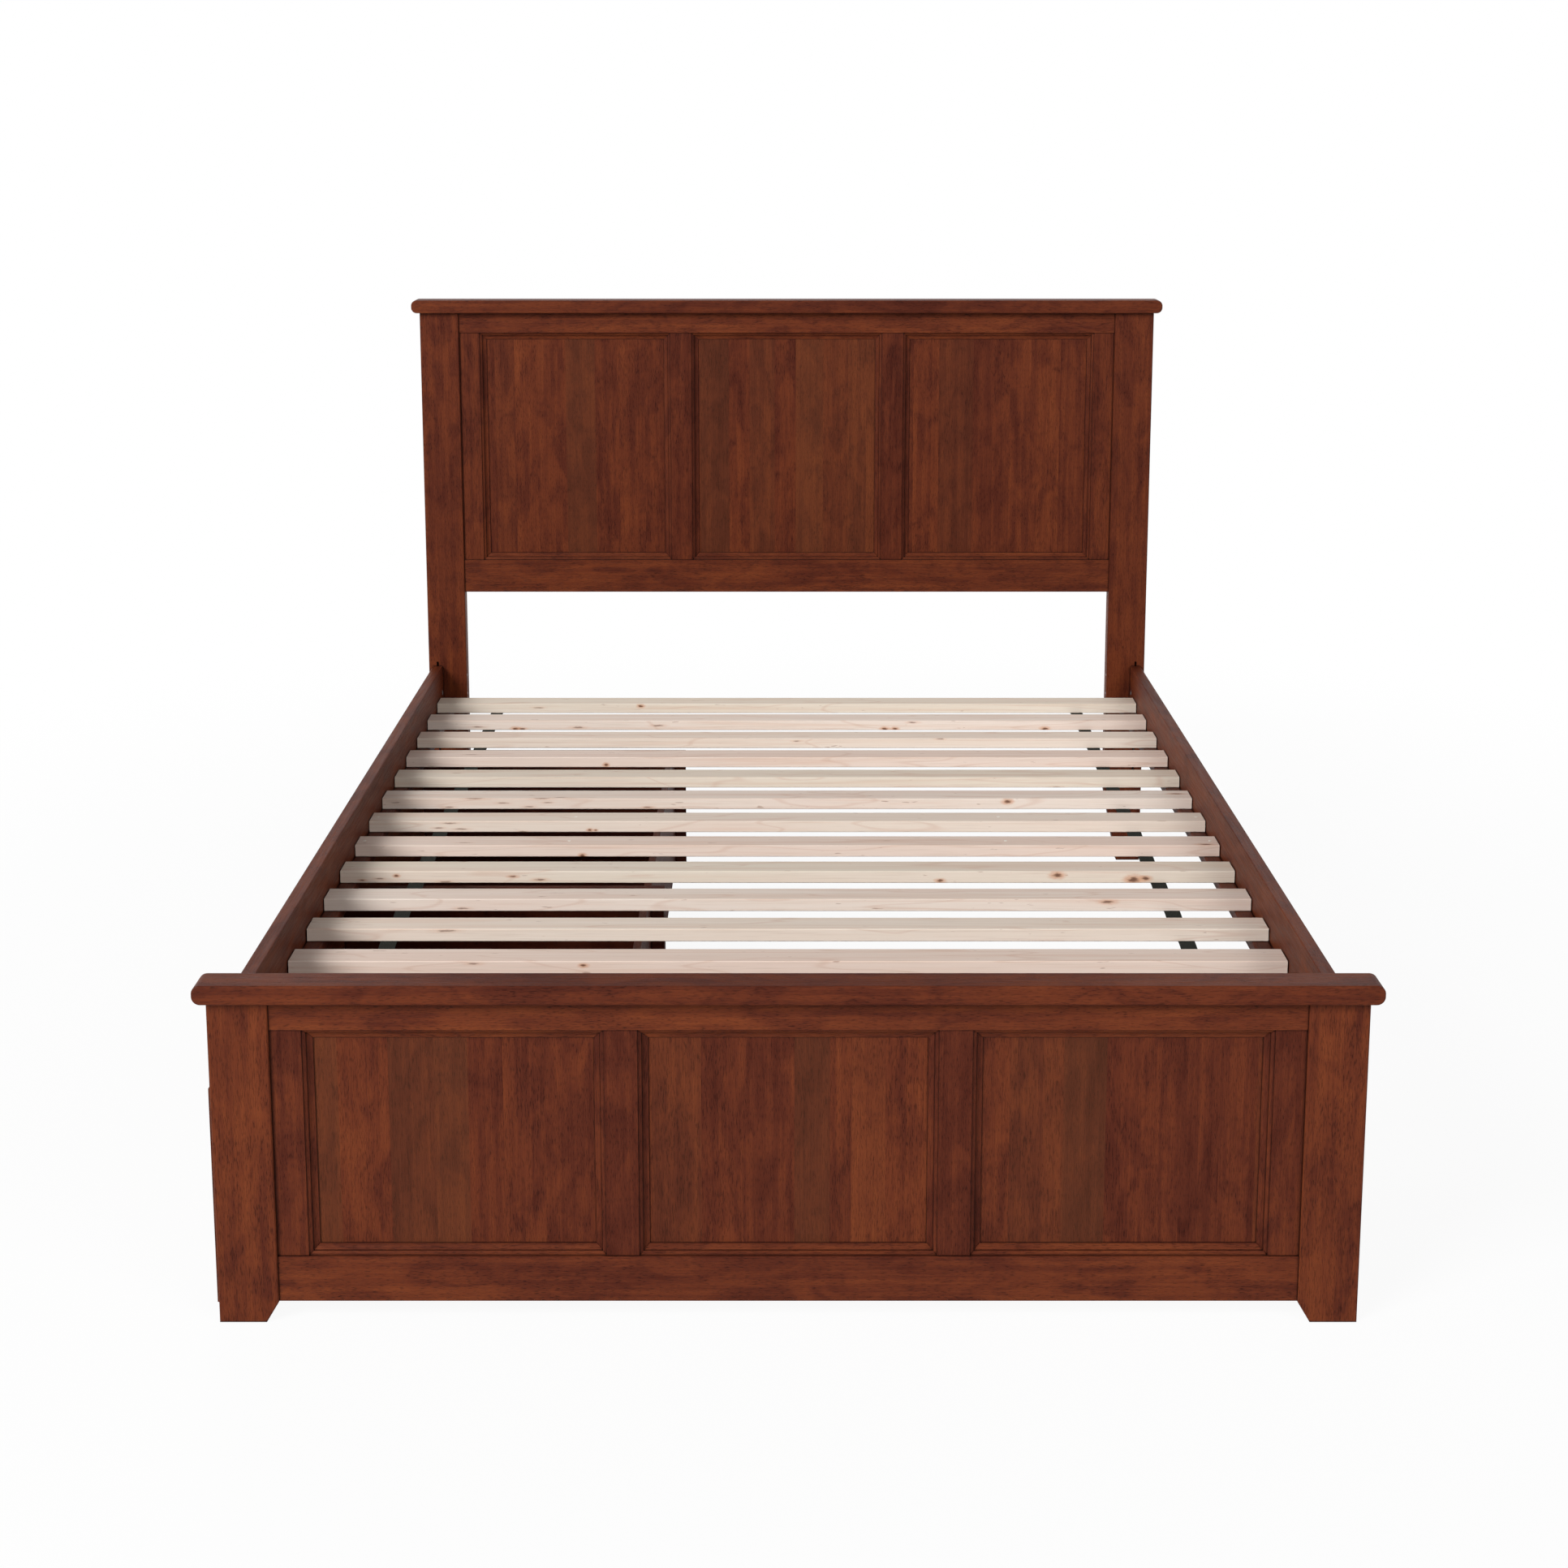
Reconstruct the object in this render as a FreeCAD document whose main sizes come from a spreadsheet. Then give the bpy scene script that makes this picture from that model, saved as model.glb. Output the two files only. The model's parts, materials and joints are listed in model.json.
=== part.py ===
"""Storage platform bed: moulded head and foot boards, hooked side rails, loose slats, two drawers.

The frame of the part: the origin is on the floor at the middle of the bed, +X points to the right
of somebody who stands at the foot, +Y points to the headboard and +Z points up.
"""
import FreeCAD, Part
import operator
import os
import types
import Sketcher

# Driving dimensions in millimetres, each with the words that explain it
DIMENSIONS = {
    # Posts, legs and caps
    "bed_width": (1600, "outer face of the left post to outer face of the right post"),
    "rail_length": (2040, "foot leg to head post, a queen mattress and 8 mm"),
    "post_width": (84, "posts and legs, across the bed"),
    "post_depth": (35, "posts and legs, along the bed"),
    "head_post_height": (1242, "head post below its cap"),
    "foot_leg_height": (476, "foot leg below its cap"),
    "head_taper_width": (32, "inner side of the head post drawn in at the floor"),
    "head_taper_height": (170, "height at which that taper starts"),
    "foot_corner_width": (18, "sloping inner corner of the foot leg"),
    "foot_corner_height": (30.5, "height of that corner"),
    "post_edge": (1.6, "bevelled edges of posts and legs"),
    "cap_thickness": (28, "cap board, upright"),
    "cap_side_overhang": (16, "cap past the outer face of a post"),
    "cap_front_overhang": (15, "cap past the front face of a post"),
    "cap_end_radius": (12, "rounded ends of the cap"),
    "cap_edge": (2.5, "eased front edges of the cap"),
    # Frames and panels of the two boards
    "board_setback": (4, "rail face behind the post face"),
    "frame_thickness": (25, "frame rails, front to back"),
    "stile_setback": (2, "stile face behind the rail face"),
    "stile_width": (44, "flat face of an outer stile"),
    "mullion_width": (46, "flat face of a mullion"),
    "head_top_rail": (44, "flat face of the upper rail of the headboard"),
    "head_bottom_rail": (72, "flat face of the lower rail of the headboard"),
    "head_opening": (505, "between the flat faces of the headboard rails"),
    "foot_top_rail": (43, "flat face of the upper rail of the footboard"),
    "foot_bottom_rail": (67, "flat face of the lower rail of the footboard"),
    "foot_opening": (335, "between the flat faces of the footboard rails"),
    "sticking_width": (14.5, "whole moulded edge"),
    "quirk": (2, "step down from the stile face to the round of the moulding"),
    "ovolo_width": (5.5, "round of the moulding"),
    "ovolo_drop": (2, "fall of the round from end to end"),
    "ovolo_bulge": (0.5, "height of the round over its chord"),
    "step_drop": (2, "step below the round"),
    "step_width": (1.5, "narrow flat below the step"),
    "cove_drop": (3.5, "fall of the hollow at the inner edge"),
    "cove_bulge": (0.9, "depth of the hollow under its chord"),
    "groove_setback": (13, "front of the panel groove behind the rail face"),
    "groove_width": (7, "panel groove, front to back"),
    "groove_depth": (10, "panel groove, into the edge"),
    "panel_thickness": (6.4, "panel"),
    "panel_float": (1.5, "room for the panel to move in each groove"),
    "cope_clearance": (0.2, "coped end of a stile to the rail that it fits"),
    "tenon_length": (22, "tenon of a frame rail in its post"),
    "tenon_thickness": (10, "that tenon, front to back"),
    "tenon_shoulder": (8, "shoulder above and below the tenon"),
    "mortise_clearance": (0.3, "mortise around the tenon"),
    # Side rails, ledges, slats and straps
    "side_rail_thickness": (22.4, "side rail"),
    "side_rail_height": (134, "side rail"),
    "side_rail_top": (452, "upper edge of the side rail over the floor"),
    "side_rail_setback": (8.4, "side rail face behind the outer face of the post"),
    "side_rail_edge": (2, "eased edges of the side rail"),
    "ledge_width": (28, "slat ledge, away from the rail"),
    "ledge_height": (20, "slat ledge, upright"),
    "slat_top_drop": (59, "top of the slats below the upper edge of the rails"),
    "slat_thickness": (21, "slat"),
    "slat_width": (54.5, "slat, along the bed"),
    "slat_end_gap": (54.3, "first and last slat to the legs and posts"),
    "slat_side_gap": (1.7, "end of a slat to the side rail"),
    "ledge_edge": (2, "bevelled long edges of a slat ledge"),
    "slat_edge": (1.2, "bevelled long edges of a slat"),
    "strap_width": (26, "webbing strap"),
    "strap_thickness": (1.6, "webbing strap"),
    "strap_inset": (91.2, "strap in from the inner edge of a slat ledge"),
    # Hooks that hang the side rails on the posts
    "hook_thickness": (3, "steel hook plate"),
    "hook_plate_length": (40, "hook plate inside the rail"),
    "hook_plate_height": (78, "hook plate, upright"),
    "hook_plate_drop": (8, "top of the hook plate below the upper edge of the rail"),
    "hook_reach": (18, "hook out of the end of the rail"),
    "hook_arm": (11, "arm of a hook, upright"),
    "hook_beak": (6, "beak of a hook, along the bed"),
    "hook_beak_drop": (9, "beak below the arm"),
    "hook_pitch": (42, "one hook to the next"),
    "hook_clearance": (0.7, "slot or kerf on each side of the steel"),
    "slot_height": (88, "slot in a post"),
    "slot_top_rise": (10, "top of the slot over the upper edge of the rail"),
    "slot_end_room": (1.5, "slot past the point of the hook"),
    "spare_slot_drop": (199, "spare lower slot of a head post below the upper one"),
    "post_pin_radius": (3, "cross pin that carries a hook"),
    "rail_pin_radius": (6.5, "cross dowel through a hook plate"),
    "rail_pin_inset": (18, "that dowel, in from the end of the rail"),
    "rail_pin_drop": (56, "that dowel below the upper edge of the rail"),
    "pin_clearance": (0.1, "hole around a pin or dowel"),
    # Drawers
    "drawer_head_room": (153, "open length between the last drawer front and the head post"),
    "drawer_front_height": (327.5, "drawer front, upright"),
    "drawer_front_rise": (11, "drawer front over the floor"),
    "drawer_front_thickness": (19, "drawer front"),
    "drawer_front_bevel": (3.4, "bevel of its top edge, in from the face"),
    "drawer_front_bevel_drop": (5.7, "bevel of its top edge, down the face"),
    "drawer_rail_gap": (0.8, "shut drawer front to the side rail"),
    "drawer_leg_gap": (3, "first drawer front to the foot leg"),
    "drawer_spacing": (4, "one drawer front to the next"),
    "drawer_box_inset": (7, "drawer box in from each end of its front"),
    "drawer_side_length": (572, "drawer side, front to back"),
    "drawer_side_height": (258, "drawer side, upright"),
    "drawer_side_rise": (45, "drawer side over the floor"),
    "drawer_wall": (14, "drawer sides and back"),
    "drawer_edge": (2, "eased top edges of the drawer box"),
    "drawer_back_inset": (24, "drawer back in from the ends of the sides"),
    "drawer_dado": (5, "drawer back let into the sides"),
    "drawer_joint_gap": (0.2, "room in the joints of the drawer box"),
    "bottom_thickness": (9, "drawer bottom"),
    "bottom_rise": (6, "drawer bottom over the lower edge of the sides"),
    "bottom_groove": (7, "groove for the drawer bottom, into the wood"),
    "hand_hold_length": (110, "hand hold in a drawer front"),
    "hand_hold_height": (30, "hand hold in a drawer front"),
    "hand_hold_drop": (62, "middle of the hand hold below the top of the front"),
    # Casters
    "wheel_radius": (20, "caster wheel"),
    "wheel_width": (16, "caster wheel"),
    "wheel_side_gap": (1, "wheel to the cheek of its housing"),
    "axle_radius": (3, "caster axle"),
    "axle_clearance": (0.08, "wheel bore around the axle"),
    "cheek_thickness": (2.5, "cheek of a caster housing"),
    "cheek_width": (26, "top of a cheek, along the way of rolling"),
    "cheek_foot": (10, "lower end of a cheek, along the way of rolling"),
    "cheek_drop": (8, "cheek below the axle"),
    "caster_plate_length": (48, "plate of a caster, along the way of rolling"),
    "caster_plate_width": (40, "plate of a caster, across"),
    "caster_plate_thickness": (2.5, "plate of a caster"),
    "caster_front_inset": (50, "front casters behind the drawer front"),
    "caster_rear_inset": (75, "rear casters in from the ends of the drawer sides"),
    "caster_side_inset": (60, "casters in from the drawer sides"),
}
SLAT_COUNT = 14
BAYS = ("left", "centre", "right")
DRAWERS = ("foot_drawer", "head_drawer")
LEFT, RIGHT = -1, 1
FOOT, HEAD = -1, 1
PLANE_ALONG_X, PLANE_ALONG_Y, PLANE_ALONG_Z = "YZ_Plane", "XZ_Plane", "XY_Plane"
TOWARDS_FRONT, TOWARDS_BACK = -1, 1
CUT_MARGIN = 1
TOLERANCE = 1e-6
EDGE_SIZE = {"Fillet": "Radius", "Chamfer": "Size"}
QUARTER_BULGE = 1 - 0.5 ** 0.5

doc = FreeCAD.newDocument("storage_bed")
sheet = doc.addObject("Spreadsheet::Sheet", "Sizes")
for row, (alias, (number, words)) in enumerate(DIMENSIONS.items(), 1):
    sheet.set(f"A{row}", words)
    sheet.set(f"B{row}", str(number))
    sheet.setAlias(f"B{row}", alias)
doc.recompute()


class Size:
    """A length with its number now and the expression of sheet cells that it follows."""

    signs = {"+": operator.add, "-": operator.sub, "*": operator.mul, "/": operator.truediv}

    def __init__(self, number, text):
        self.number = number
        self.text = text

    def joined(self, sign, other):
        other = as_size(other)
        number = self.signs[sign](self.number, other.number)
        return Size(number, f"({self.text} {sign} {other.text})")

    def __add__(self, other):
        return self.joined("+", other)

    def __radd__(self, other):
        return as_size(other).joined("+", self)

    def __sub__(self, other):
        return self.joined("-", other)

    def __rsub__(self, other):
        return as_size(other).joined("-", self)

    def __mul__(self, other):
        return self.joined("*", other)

    def __rmul__(self, other):
        return as_size(other).joined("*", self)

    def __truediv__(self, other):
        return self.joined("/", other)

    def __neg__(self):
        return as_size(0).joined("-", self)


def as_size(value):
    return value if isinstance(value, Size) else Size(float(value), f"({value})")


size = types.SimpleNamespace()
for alias in DIMENSIONS:
    setattr(size, alias, Size(float(sheet.get(alias)), f"Sizes.{alias}"))

nodes = []


def bind(thing, name, value):
    thing.setExpression(name, as_size(value).text)


def place(thing, x, y, z):
    for axis, value in zip("xyz", (x, y, z)):
        bind(thing, f"Placement.Base.{axis}", value)


# Sketches, pads and cuts

def new_body(label):
    body = doc.addObject("PartDesign::Body", label)
    body.Label = label
    return body


def sketch_on(body, role, shift=0):
    """A sketch on one of the body's own planes, moved along the normal of that plane."""
    sketch = body.newObject("Sketcher::SketchObject", f"{body.Label}_sketch")
    plane = [item for item in body.Origin.OriginFeatures if item.Role == role][0]
    sketch.AttachmentSupport = [(plane, "")]
    sketch.MapMode = "FlatFace"
    bind(sketch, "AttachmentOffset.Base.z", shift)
    return sketch


def fix_point(sketch, edge, end, point):
    """Holds one end of an edge at a point whose two coordinates follow the sheet."""
    for kind, value in zip(("DistanceX", "DistanceY"), point):
        value = as_size(value)
        rule = sketch.addConstraint(Sketcher.Constraint(kind, -1, 1, edge, end, value.number))
        bind(sketch, f"Constraints[{rule}]", value)


def arc_edge(start, end, bulge, towards):
    """The arc from start to end that swells by bulge towards a side, its radius and its way round."""
    run = [second - first for first, second in zip(start, end)]
    radius = ((run[0] * run[0] + run[1] * run[1]) / 4 + bulge * bulge) / (2 * bulge)
    first = FreeCAD.Vector(start[0].number, start[1].number)
    last = FreeCAD.Vector(end[0].number, end[1].number)
    along = (last - first).normalize()
    across = FreeCAD.Vector(-along.y, along.x)
    if across.dot(FreeCAD.Vector(*towards)) < 0:
        across = across * -1
    crown = (first + last) * 0.5 + across * bulge.number
    runs_forward = (crown - first).cross(last - crown).z > 0
    curve = Part.Arc(first, crown, last) if runs_forward else Part.Arc(last, crown, first)
    return curve, radius, runs_forward


def outline(sketch, points, arcs=None):
    """Draws a closed outline through points, with arcs as {edge: (bulge, side it swells to)}."""
    arcs = arcs or {}
    points = [tuple(as_size(value) for value in point) for point in points]
    ends = []
    for number, start in enumerate(points):
        end = points[(number + 1) % len(points)]
        if number in arcs:
            curve, radius, runs_forward = arc_edge(start, end, *arcs[number])
            edge = sketch.addGeometry(curve)
            rule = sketch.addConstraint(Sketcher.Constraint("Radius", edge, radius.number))
            bind(sketch, f"Constraints[{rule}]", radius)
        else:
            corners = [FreeCAD.Vector(x.number, y.number) for x, y in (start, end)]
            edge = sketch.addGeometry(Part.LineSegment(*corners))
            runs_forward = True
        ends.append((edge, 1, 2) if runs_forward else (edge, 2, 1))
    for number, point in enumerate(points):
        edge, first, _ = ends[number]
        before, _, last = ends[number - 1]
        sketch.addConstraint(Sketcher.Constraint("Coincident", before, last, edge, first))
        fix_point(sketch, edge, first, point)


def rectangle(sketch, low, high):
    outline(sketch, [low, (high[0], low[1]), high, (low[0], high[1])])


def circle(sketch, centre, radius):
    x, y = (as_size(value) for value in centre)
    middle = FreeCAD.Vector(x.number, y.number)
    edge = sketch.addGeometry(Part.Circle(middle, FreeCAD.Vector(0, 0, 1), radius.number))
    rule = sketch.addConstraint(Sketcher.Constraint("Radius", edge, radius.number))
    bind(sketch, f"Constraints[{rule}]", radius)
    fix_point(sketch, edge, 3, (x, y))


def pad(body, sketch, length, side="One side", against_normal=False):
    feature = body.newObject("PartDesign::Pad", f"{body.Label}_pad")
    feature.Profile = sketch
    feature.SideType = side
    feature.Reversed = against_normal
    bind(feature, "Length", length)
    doc.recompute()
    return feature


def cut(body, sketch, depth):
    """Cuts to a depth on both sides of the sketch, so that a sketch on a face cuts that deep."""
    feature = body.newObject("PartDesign::Pocket", f"{body.Label}_cut")
    feature.Profile = sketch
    feature.SideType = "Symmetric"
    bind(feature, "Length", 2 * depth)
    volume_before = body.Tip.BaseFeature.Shape.Volume
    doc.recompute()
    if feature.Shape.Volume >= volume_before:
        raise RuntimeError(f"{body.Label}: a cut removes nothing")
    return feature


def ease_edges(body, kind, amount, wanted):
    """Puts a Fillet or a Chamfer on the edges of the body so far that wanted picks out."""
    base = body.Tip
    names = [f"Edge{n}" for n, edge in enumerate(base.Shape.Edges, 1) if wanted(edge)]
    feature = body.newObject(f"PartDesign::{kind}", f"{body.Label}_eased")
    feature.Base = (base, names)
    bind(feature, EDGE_SIZE[kind], amount)
    doc.recompute()
    return feature


def runs_along(edge, axis):
    """True where an edge is straight along X, Y or Z."""
    first, last = (vertex.Point for vertex in (edge.Vertexes[0], edge.Vertexes[-1]))
    span = [abs(b - a) for a, b in zip(first, last)]
    axis = "xyz".index(axis)
    return span[axis] > TOLERANCE and all(s < TOLERANCE for n, s in enumerate(span) if n != axis)


def lies_at(edge, axis, value):
    """True where both ends of an edge lie at a coordinate."""
    axis = "xyz".index(axis)
    return all(abs(vertex.Point[axis] - as_size(value).number) < TOLERANCE for vertex in edge.Vertexes)


def group(label, pieces):
    """One node that holds several separate solids."""
    gathered = doc.addObject("Part::Compound", label)
    gathered.Label = label
    gathered.Links = pieces
    nodes.append(gathered)


def cylinder(label, radius, length, axis):
    """A round bar that starts at its place and runs along axis."""
    bar = doc.addObject("Part::Cylinder", label)
    bind(bar, "Radius", radius)
    bind(bar, "Height", length)
    bar.Placement.Rotation = FreeCAD.Rotation(FreeCAD.Vector(0, 0, 1), FreeCAD.Vector(*axis))
    return bar


# Places that several pieces share
half_width = size.bed_width / 2
bed_length = size.cap_front_overhang + 2 * size.post_depth + size.rail_length
foot_face = size.cap_front_overhang - bed_length / 2
foot_back = foot_face + size.post_depth
head_face = foot_back + size.rail_length
board_span = size.bed_width - 2 * size.post_width
rail_inner_face = half_width - size.side_rail_setback - size.side_rail_thickness
rail_middle = rail_inner_face + size.side_rail_thickness / 2
rail_bottom = size.side_rail_top - size.side_rail_height
slat_top = size.side_rail_top - size.slat_top_drop
ledge_top = slat_top - size.slat_thickness
slot_top = size.side_rail_top + size.slot_top_rise
hook_top = size.side_rail_top - size.hook_plate_drop
pin_depth = size.hook_reach - size.hook_beak - size.post_pin_radius
rail_pin_height = size.side_rail_top - size.rail_pin_drop
slot_half = size.hook_thickness / 2 + size.hook_clearance
post_pin_length = rail_middle + slot_half - half_width + size.post_width
rail_pin_length = size.side_rail_thickness / 2 + slot_half
hook_heights = [hook_top - n * size.hook_pitch for n in (0, 1)]
post_pin_heights = [top - size.hook_arm - size.post_pin_radius for top in hook_heights]
tenon_front = size.board_setback + (size.frame_thickness - size.tenon_thickness) / 2
groove_edge = size.sticking_width - size.groove_depth
head_frame = types.SimpleNamespace(
    top_rail=size.head_top_rail, bottom_rail=size.head_bottom_rail, opening=size.head_opening,
    low=size.head_post_height - size.head_top_rail - size.head_opening)
foot_frame = types.SimpleNamespace(
    top_rail=size.foot_top_rail, bottom_rail=size.foot_bottom_rail, opening=size.foot_opening,
    low=size.foot_leg_height - size.foot_top_rail - size.foot_opening)


# Posts and legs
def post(label, side, height, corner, frame, face, bed_side, slots):
    """A flat board on edge with a sloping inner foot, two mortises and the slots for the hooks."""
    body = new_body(label)
    corner_width, corner_height = corner
    shape = [(corner_width, 0), (size.post_width, 0), (size.post_width, height), (0, height),
             (0, corner_height)]
    sketch = sketch_on(body, PLANE_ALONG_Y)
    outline(sketch, [(side * x, z) for x, z in shape])
    pad(body, sketch, size.post_depth, against_normal=True)
    ease_edges(body, "Chamfer", size.post_edge, lambda edge: not lies_at(edge, "z", height) and (
        lies_at(edge, "y", 0) or lies_at(edge, "y", size.post_depth)))
    gap = size.mortise_clearance
    mortises = sketch_on(body, PLANE_ALONG_X)
    for low, tall in ((frame.low - frame.bottom_rail, frame.bottom_rail),
                      (frame.low + frame.opening, frame.top_rail)):
        rectangle(mortises, (tenon_front - gap, low + size.tenon_shoulder - gap),
                  (tenon_front + size.tenon_thickness + gap, low + tall - size.tenon_shoulder + gap))
    cut(body, mortises, size.tenon_length + gap)
    slot_middle = side * (rail_middle - half_width + size.post_width)
    bed_face = size.post_depth if bed_side == HEAD else as_size(0)
    slot_sketch = sketch_on(body, PLANE_ALONG_Y, -bed_face)
    for top in slots:
        rectangle(slot_sketch, (slot_middle - slot_half, top - size.slot_height),
                  (slot_middle + slot_half, top))
    cut(body, slot_sketch, size.hook_reach + size.slot_end_room)
    holes = sketch_on(body, PLANE_ALONG_X)
    for pin_height in post_pin_heights:
        circle(holes, (bed_face - bed_side * pin_depth, pin_height),
               size.post_pin_radius + size.pin_clearance)
    cut(body, holes, post_pin_length)
    place(body, side * (half_width - size.post_width), face, 0)
    nodes.append(body)


# Caps
def cap(label, rise, face):
    """A cap board that overhangs the posts at the front and the ends, with rounded ends."""
    body = new_body(label)
    length = size.bed_width + 2 * size.cap_side_overhang
    depth = size.cap_front_overhang + size.post_depth
    sketch = sketch_on(body, PLANE_ALONG_Y)
    rectangle(sketch, (-length / 2, 0), (length / 2, size.cap_thickness))
    pad(body, sketch, depth, against_normal=True)
    ease_edges(body, "Fillet", size.cap_end_radius, lambda edge: runs_along(edge, "y"))
    ease_edges(body, "Fillet", size.cap_edge, lambda edge: lies_at(edge, "y", 0))
    place(body, 0, face - size.cap_front_overhang, rise)
    nodes.append(body)


# Moulded frames
quirk_bottom = size.stile_setback + size.quirk
step_top = quirk_bottom + size.ovolo_drop
step_bottom = step_top + size.step_drop
lip_front = step_bottom + size.cove_drop
groove_back = size.groove_setback + size.groove_width
# The moulded edge from the quirk to the back, as (out from the flat face, behind the rail face)
STICKING = [
    (as_size(0), quirk_bottom),
    (size.ovolo_width, step_top),
    (size.ovolo_width, step_bottom),
    (size.ovolo_width + size.step_width, step_bottom),
    (size.sticking_width, lip_front),
    (size.sticking_width, size.groove_setback),
    (groove_edge, size.groove_setback),
    (groove_edge, groove_back),
    (size.sticking_width, groove_back),
    (size.sticking_width, size.frame_thickness),
]
OVOLO_EDGE, COVE_EDGE = 0, 3


def sticking_arcs(first, front):
    """The two rounds of the moulding, where its first point is the given number of an outline."""
    to_front = tuple(value * TOWARDS_FRONT for value in front)
    to_back = tuple(value * TOWARDS_BACK for value in front)
    return {first + OVOLO_EDGE: (size.ovolo_bulge, to_front), first + COVE_EDGE: (size.cove_bulge, to_back)}


def frame_rail(label, tall, edge_up, frame_low, face):
    """A rail with the moulding on one edge and a tenon at each end."""
    body = new_body(label)
    flip = 1 if edge_up else -1
    flat = tall if edge_up else as_size(0)
    far = as_size(0) if edge_up else tall
    points = [(0, far), (0, flat)] + [(depth, flat + flip * out) for out, depth in STICKING]
    points.append((size.frame_thickness, far))
    section = sketch_on(body, PLANE_ALONG_X)
    outline(section, points, sticking_arcs(2, (1, 0)))
    pad(body, section, board_span, "Symmetric")
    tenon = sketch_on(body, PLANE_ALONG_X)
    middle = size.frame_thickness / 2
    rectangle(tenon, (middle - size.tenon_thickness / 2, size.tenon_shoulder),
              (middle + size.tenon_thickness / 2, tall - size.tenon_shoulder))
    pad(body, tenon, board_span + 2 * size.tenon_length, "Symmetric")
    place(body, 0, face + size.board_setback, frame_low)
    nodes.append(body)


def frame_upright(label, wide, left_edge, right_edge, x, frame, face):
    """A stile or mullion, moulded on one or both edges and coped over the moulding of the rails."""
    body = new_body(label)
    points = [(0, size.stile_setback), (wide, size.stile_setback)]
    arcs = {}
    if right_edge:
        arcs.update(sticking_arcs(len(points), (0, 1)))
        points += [(wide + out, depth) for out, depth in STICKING]
    else:
        points.append((wide, size.frame_thickness))
    if left_edge:
        last = len(points) + len(STICKING) - 1
        to_front, to_back = (0, TOWARDS_FRONT), (0, TOWARDS_BACK)
        arcs[last - OVOLO_EDGE - 1] = (size.ovolo_bulge, to_front)
        arcs[last - COVE_EDGE - 1] = (size.cove_bulge, to_back)
        points += [(-out, depth) for out, depth in reversed(STICKING)]
    else:
        points.append((0, size.frame_thickness))
    section = sketch_on(body, PLANE_ALONG_Z)
    outline(section, points, arcs)
    pad(body, section, frame.opening)
    for end, flip in ((as_size(0), 1), (frame.opening, -1)):
        cope = sketch_on(body, PLANE_ALONG_X, wide / 2)
        gap = size.cope_clearance
        fit = [(-CUT_MARGIN, end - flip * CUT_MARGIN), (-CUT_MARGIN, end + flip * gap)]
        fit += [(depth, end + flip * (out + gap)) for out, depth in STICKING[:-1]]
        past_back = size.frame_thickness + CUT_MARGIN
        fit += [(past_back, end + flip * (size.sticking_width + gap)), (past_back, end - flip * CUT_MARGIN)]
        outline(cope, fit, sticking_arcs(2, (1, 0)))
        cut(body, cope, wide + 2 * size.sticking_width)
    place(body, x, face + size.board_setback, frame.low)
    nodes.append(body)


def panel(label, x, wide, frame, face):
    """A flat panel that stands in the groove of the lower rail and floats in the others."""
    body = new_body(label)
    sketch = sketch_on(body, PLANE_ALONG_Y)
    rectangle(sketch, (0, 0), (wide, frame.opening - 2 * groove_edge - size.panel_float))
    pad(body, sketch, size.panel_thickness, against_normal=True)
    panel_front = size.groove_setback + (size.groove_width - size.panel_thickness) / 2
    place(body, x, face + size.board_setback + panel_front, frame.low + groove_edge)
    nodes.append(body)


def frame_and_panels(board, frame, face):
    """The moulded rails, stiles, mullions and panels between two posts."""
    frame_rail(f"{board}_top_rail", frame.top_rail, False, frame.low + frame.opening, face)
    frame_rail(f"{board}_bottom_rail", frame.bottom_rail, True, frame.low - frame.bottom_rail, face)
    bay = (board_span - 2 * size.stile_width - 2 * size.mullion_width) / len(BAYS)
    left = -board_span / 2
    frame_upright(f"{board}_left_stile", size.stile_width, False, True, left, frame, face)
    right = -left - size.stile_width
    frame_upright(f"{board}_right_stile", size.stile_width, True, False, right, frame, face)
    first_bay = left + size.stile_width
    for number, name in enumerate(("left", "right")):
        start = first_bay + bay + number * (bay + size.mullion_width)
        frame_upright(f"{board}_{name}_mullion", size.mullion_width, True, True, start, frame, face)
    inset = groove_edge + size.panel_float
    for number, name in enumerate(BAYS):
        start = first_bay + number * (bay + size.mullion_width)
        panel(f"{board}_{name}_panel", start + inset, bay - 2 * inset, frame, face)


# Side rails, ledges, slats and straps
def side_rail(label, side):
    """A side rail with a kerf at each end for the hook plate and the holes of its dowels."""
    body = new_body(label)
    sketch = sketch_on(body, PLANE_ALONG_Y)
    rectangle(sketch, (0, 0), (side * size.side_rail_thickness, size.side_rail_height))
    pad(body, sketch, size.rail_length, against_normal=True)
    ease_edges(body, "Fillet", size.side_rail_edge, lambda edge: runs_along(edge, "y"))
    kerf_top = hook_top - rail_bottom + size.hook_clearance
    kerf_low = kerf_top - size.hook_plate_height - 2 * size.hook_clearance
    kerf_length = size.hook_plate_length + size.hook_clearance
    kerfs = sketch_on(body, PLANE_ALONG_X, side * size.side_rail_thickness / 2)
    rectangle(kerfs, (-CUT_MARGIN, kerf_low), (kerf_length, kerf_top))
    rectangle(kerfs, (size.rail_length - kerf_length, kerf_low), (size.rail_length + CUT_MARGIN, kerf_top))
    cut(body, kerfs, slot_half)
    holes = sketch_on(body, PLANE_ALONG_X)
    for along in (size.rail_pin_inset, size.rail_length - size.rail_pin_inset):
        circle(holes, (along, rail_pin_height - rail_bottom), size.rail_pin_radius + size.pin_clearance)
    cut(body, holes, rail_pin_length)
    place(body, side * rail_inner_face, foot_back, rail_bottom)
    nodes.append(body)


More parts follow.
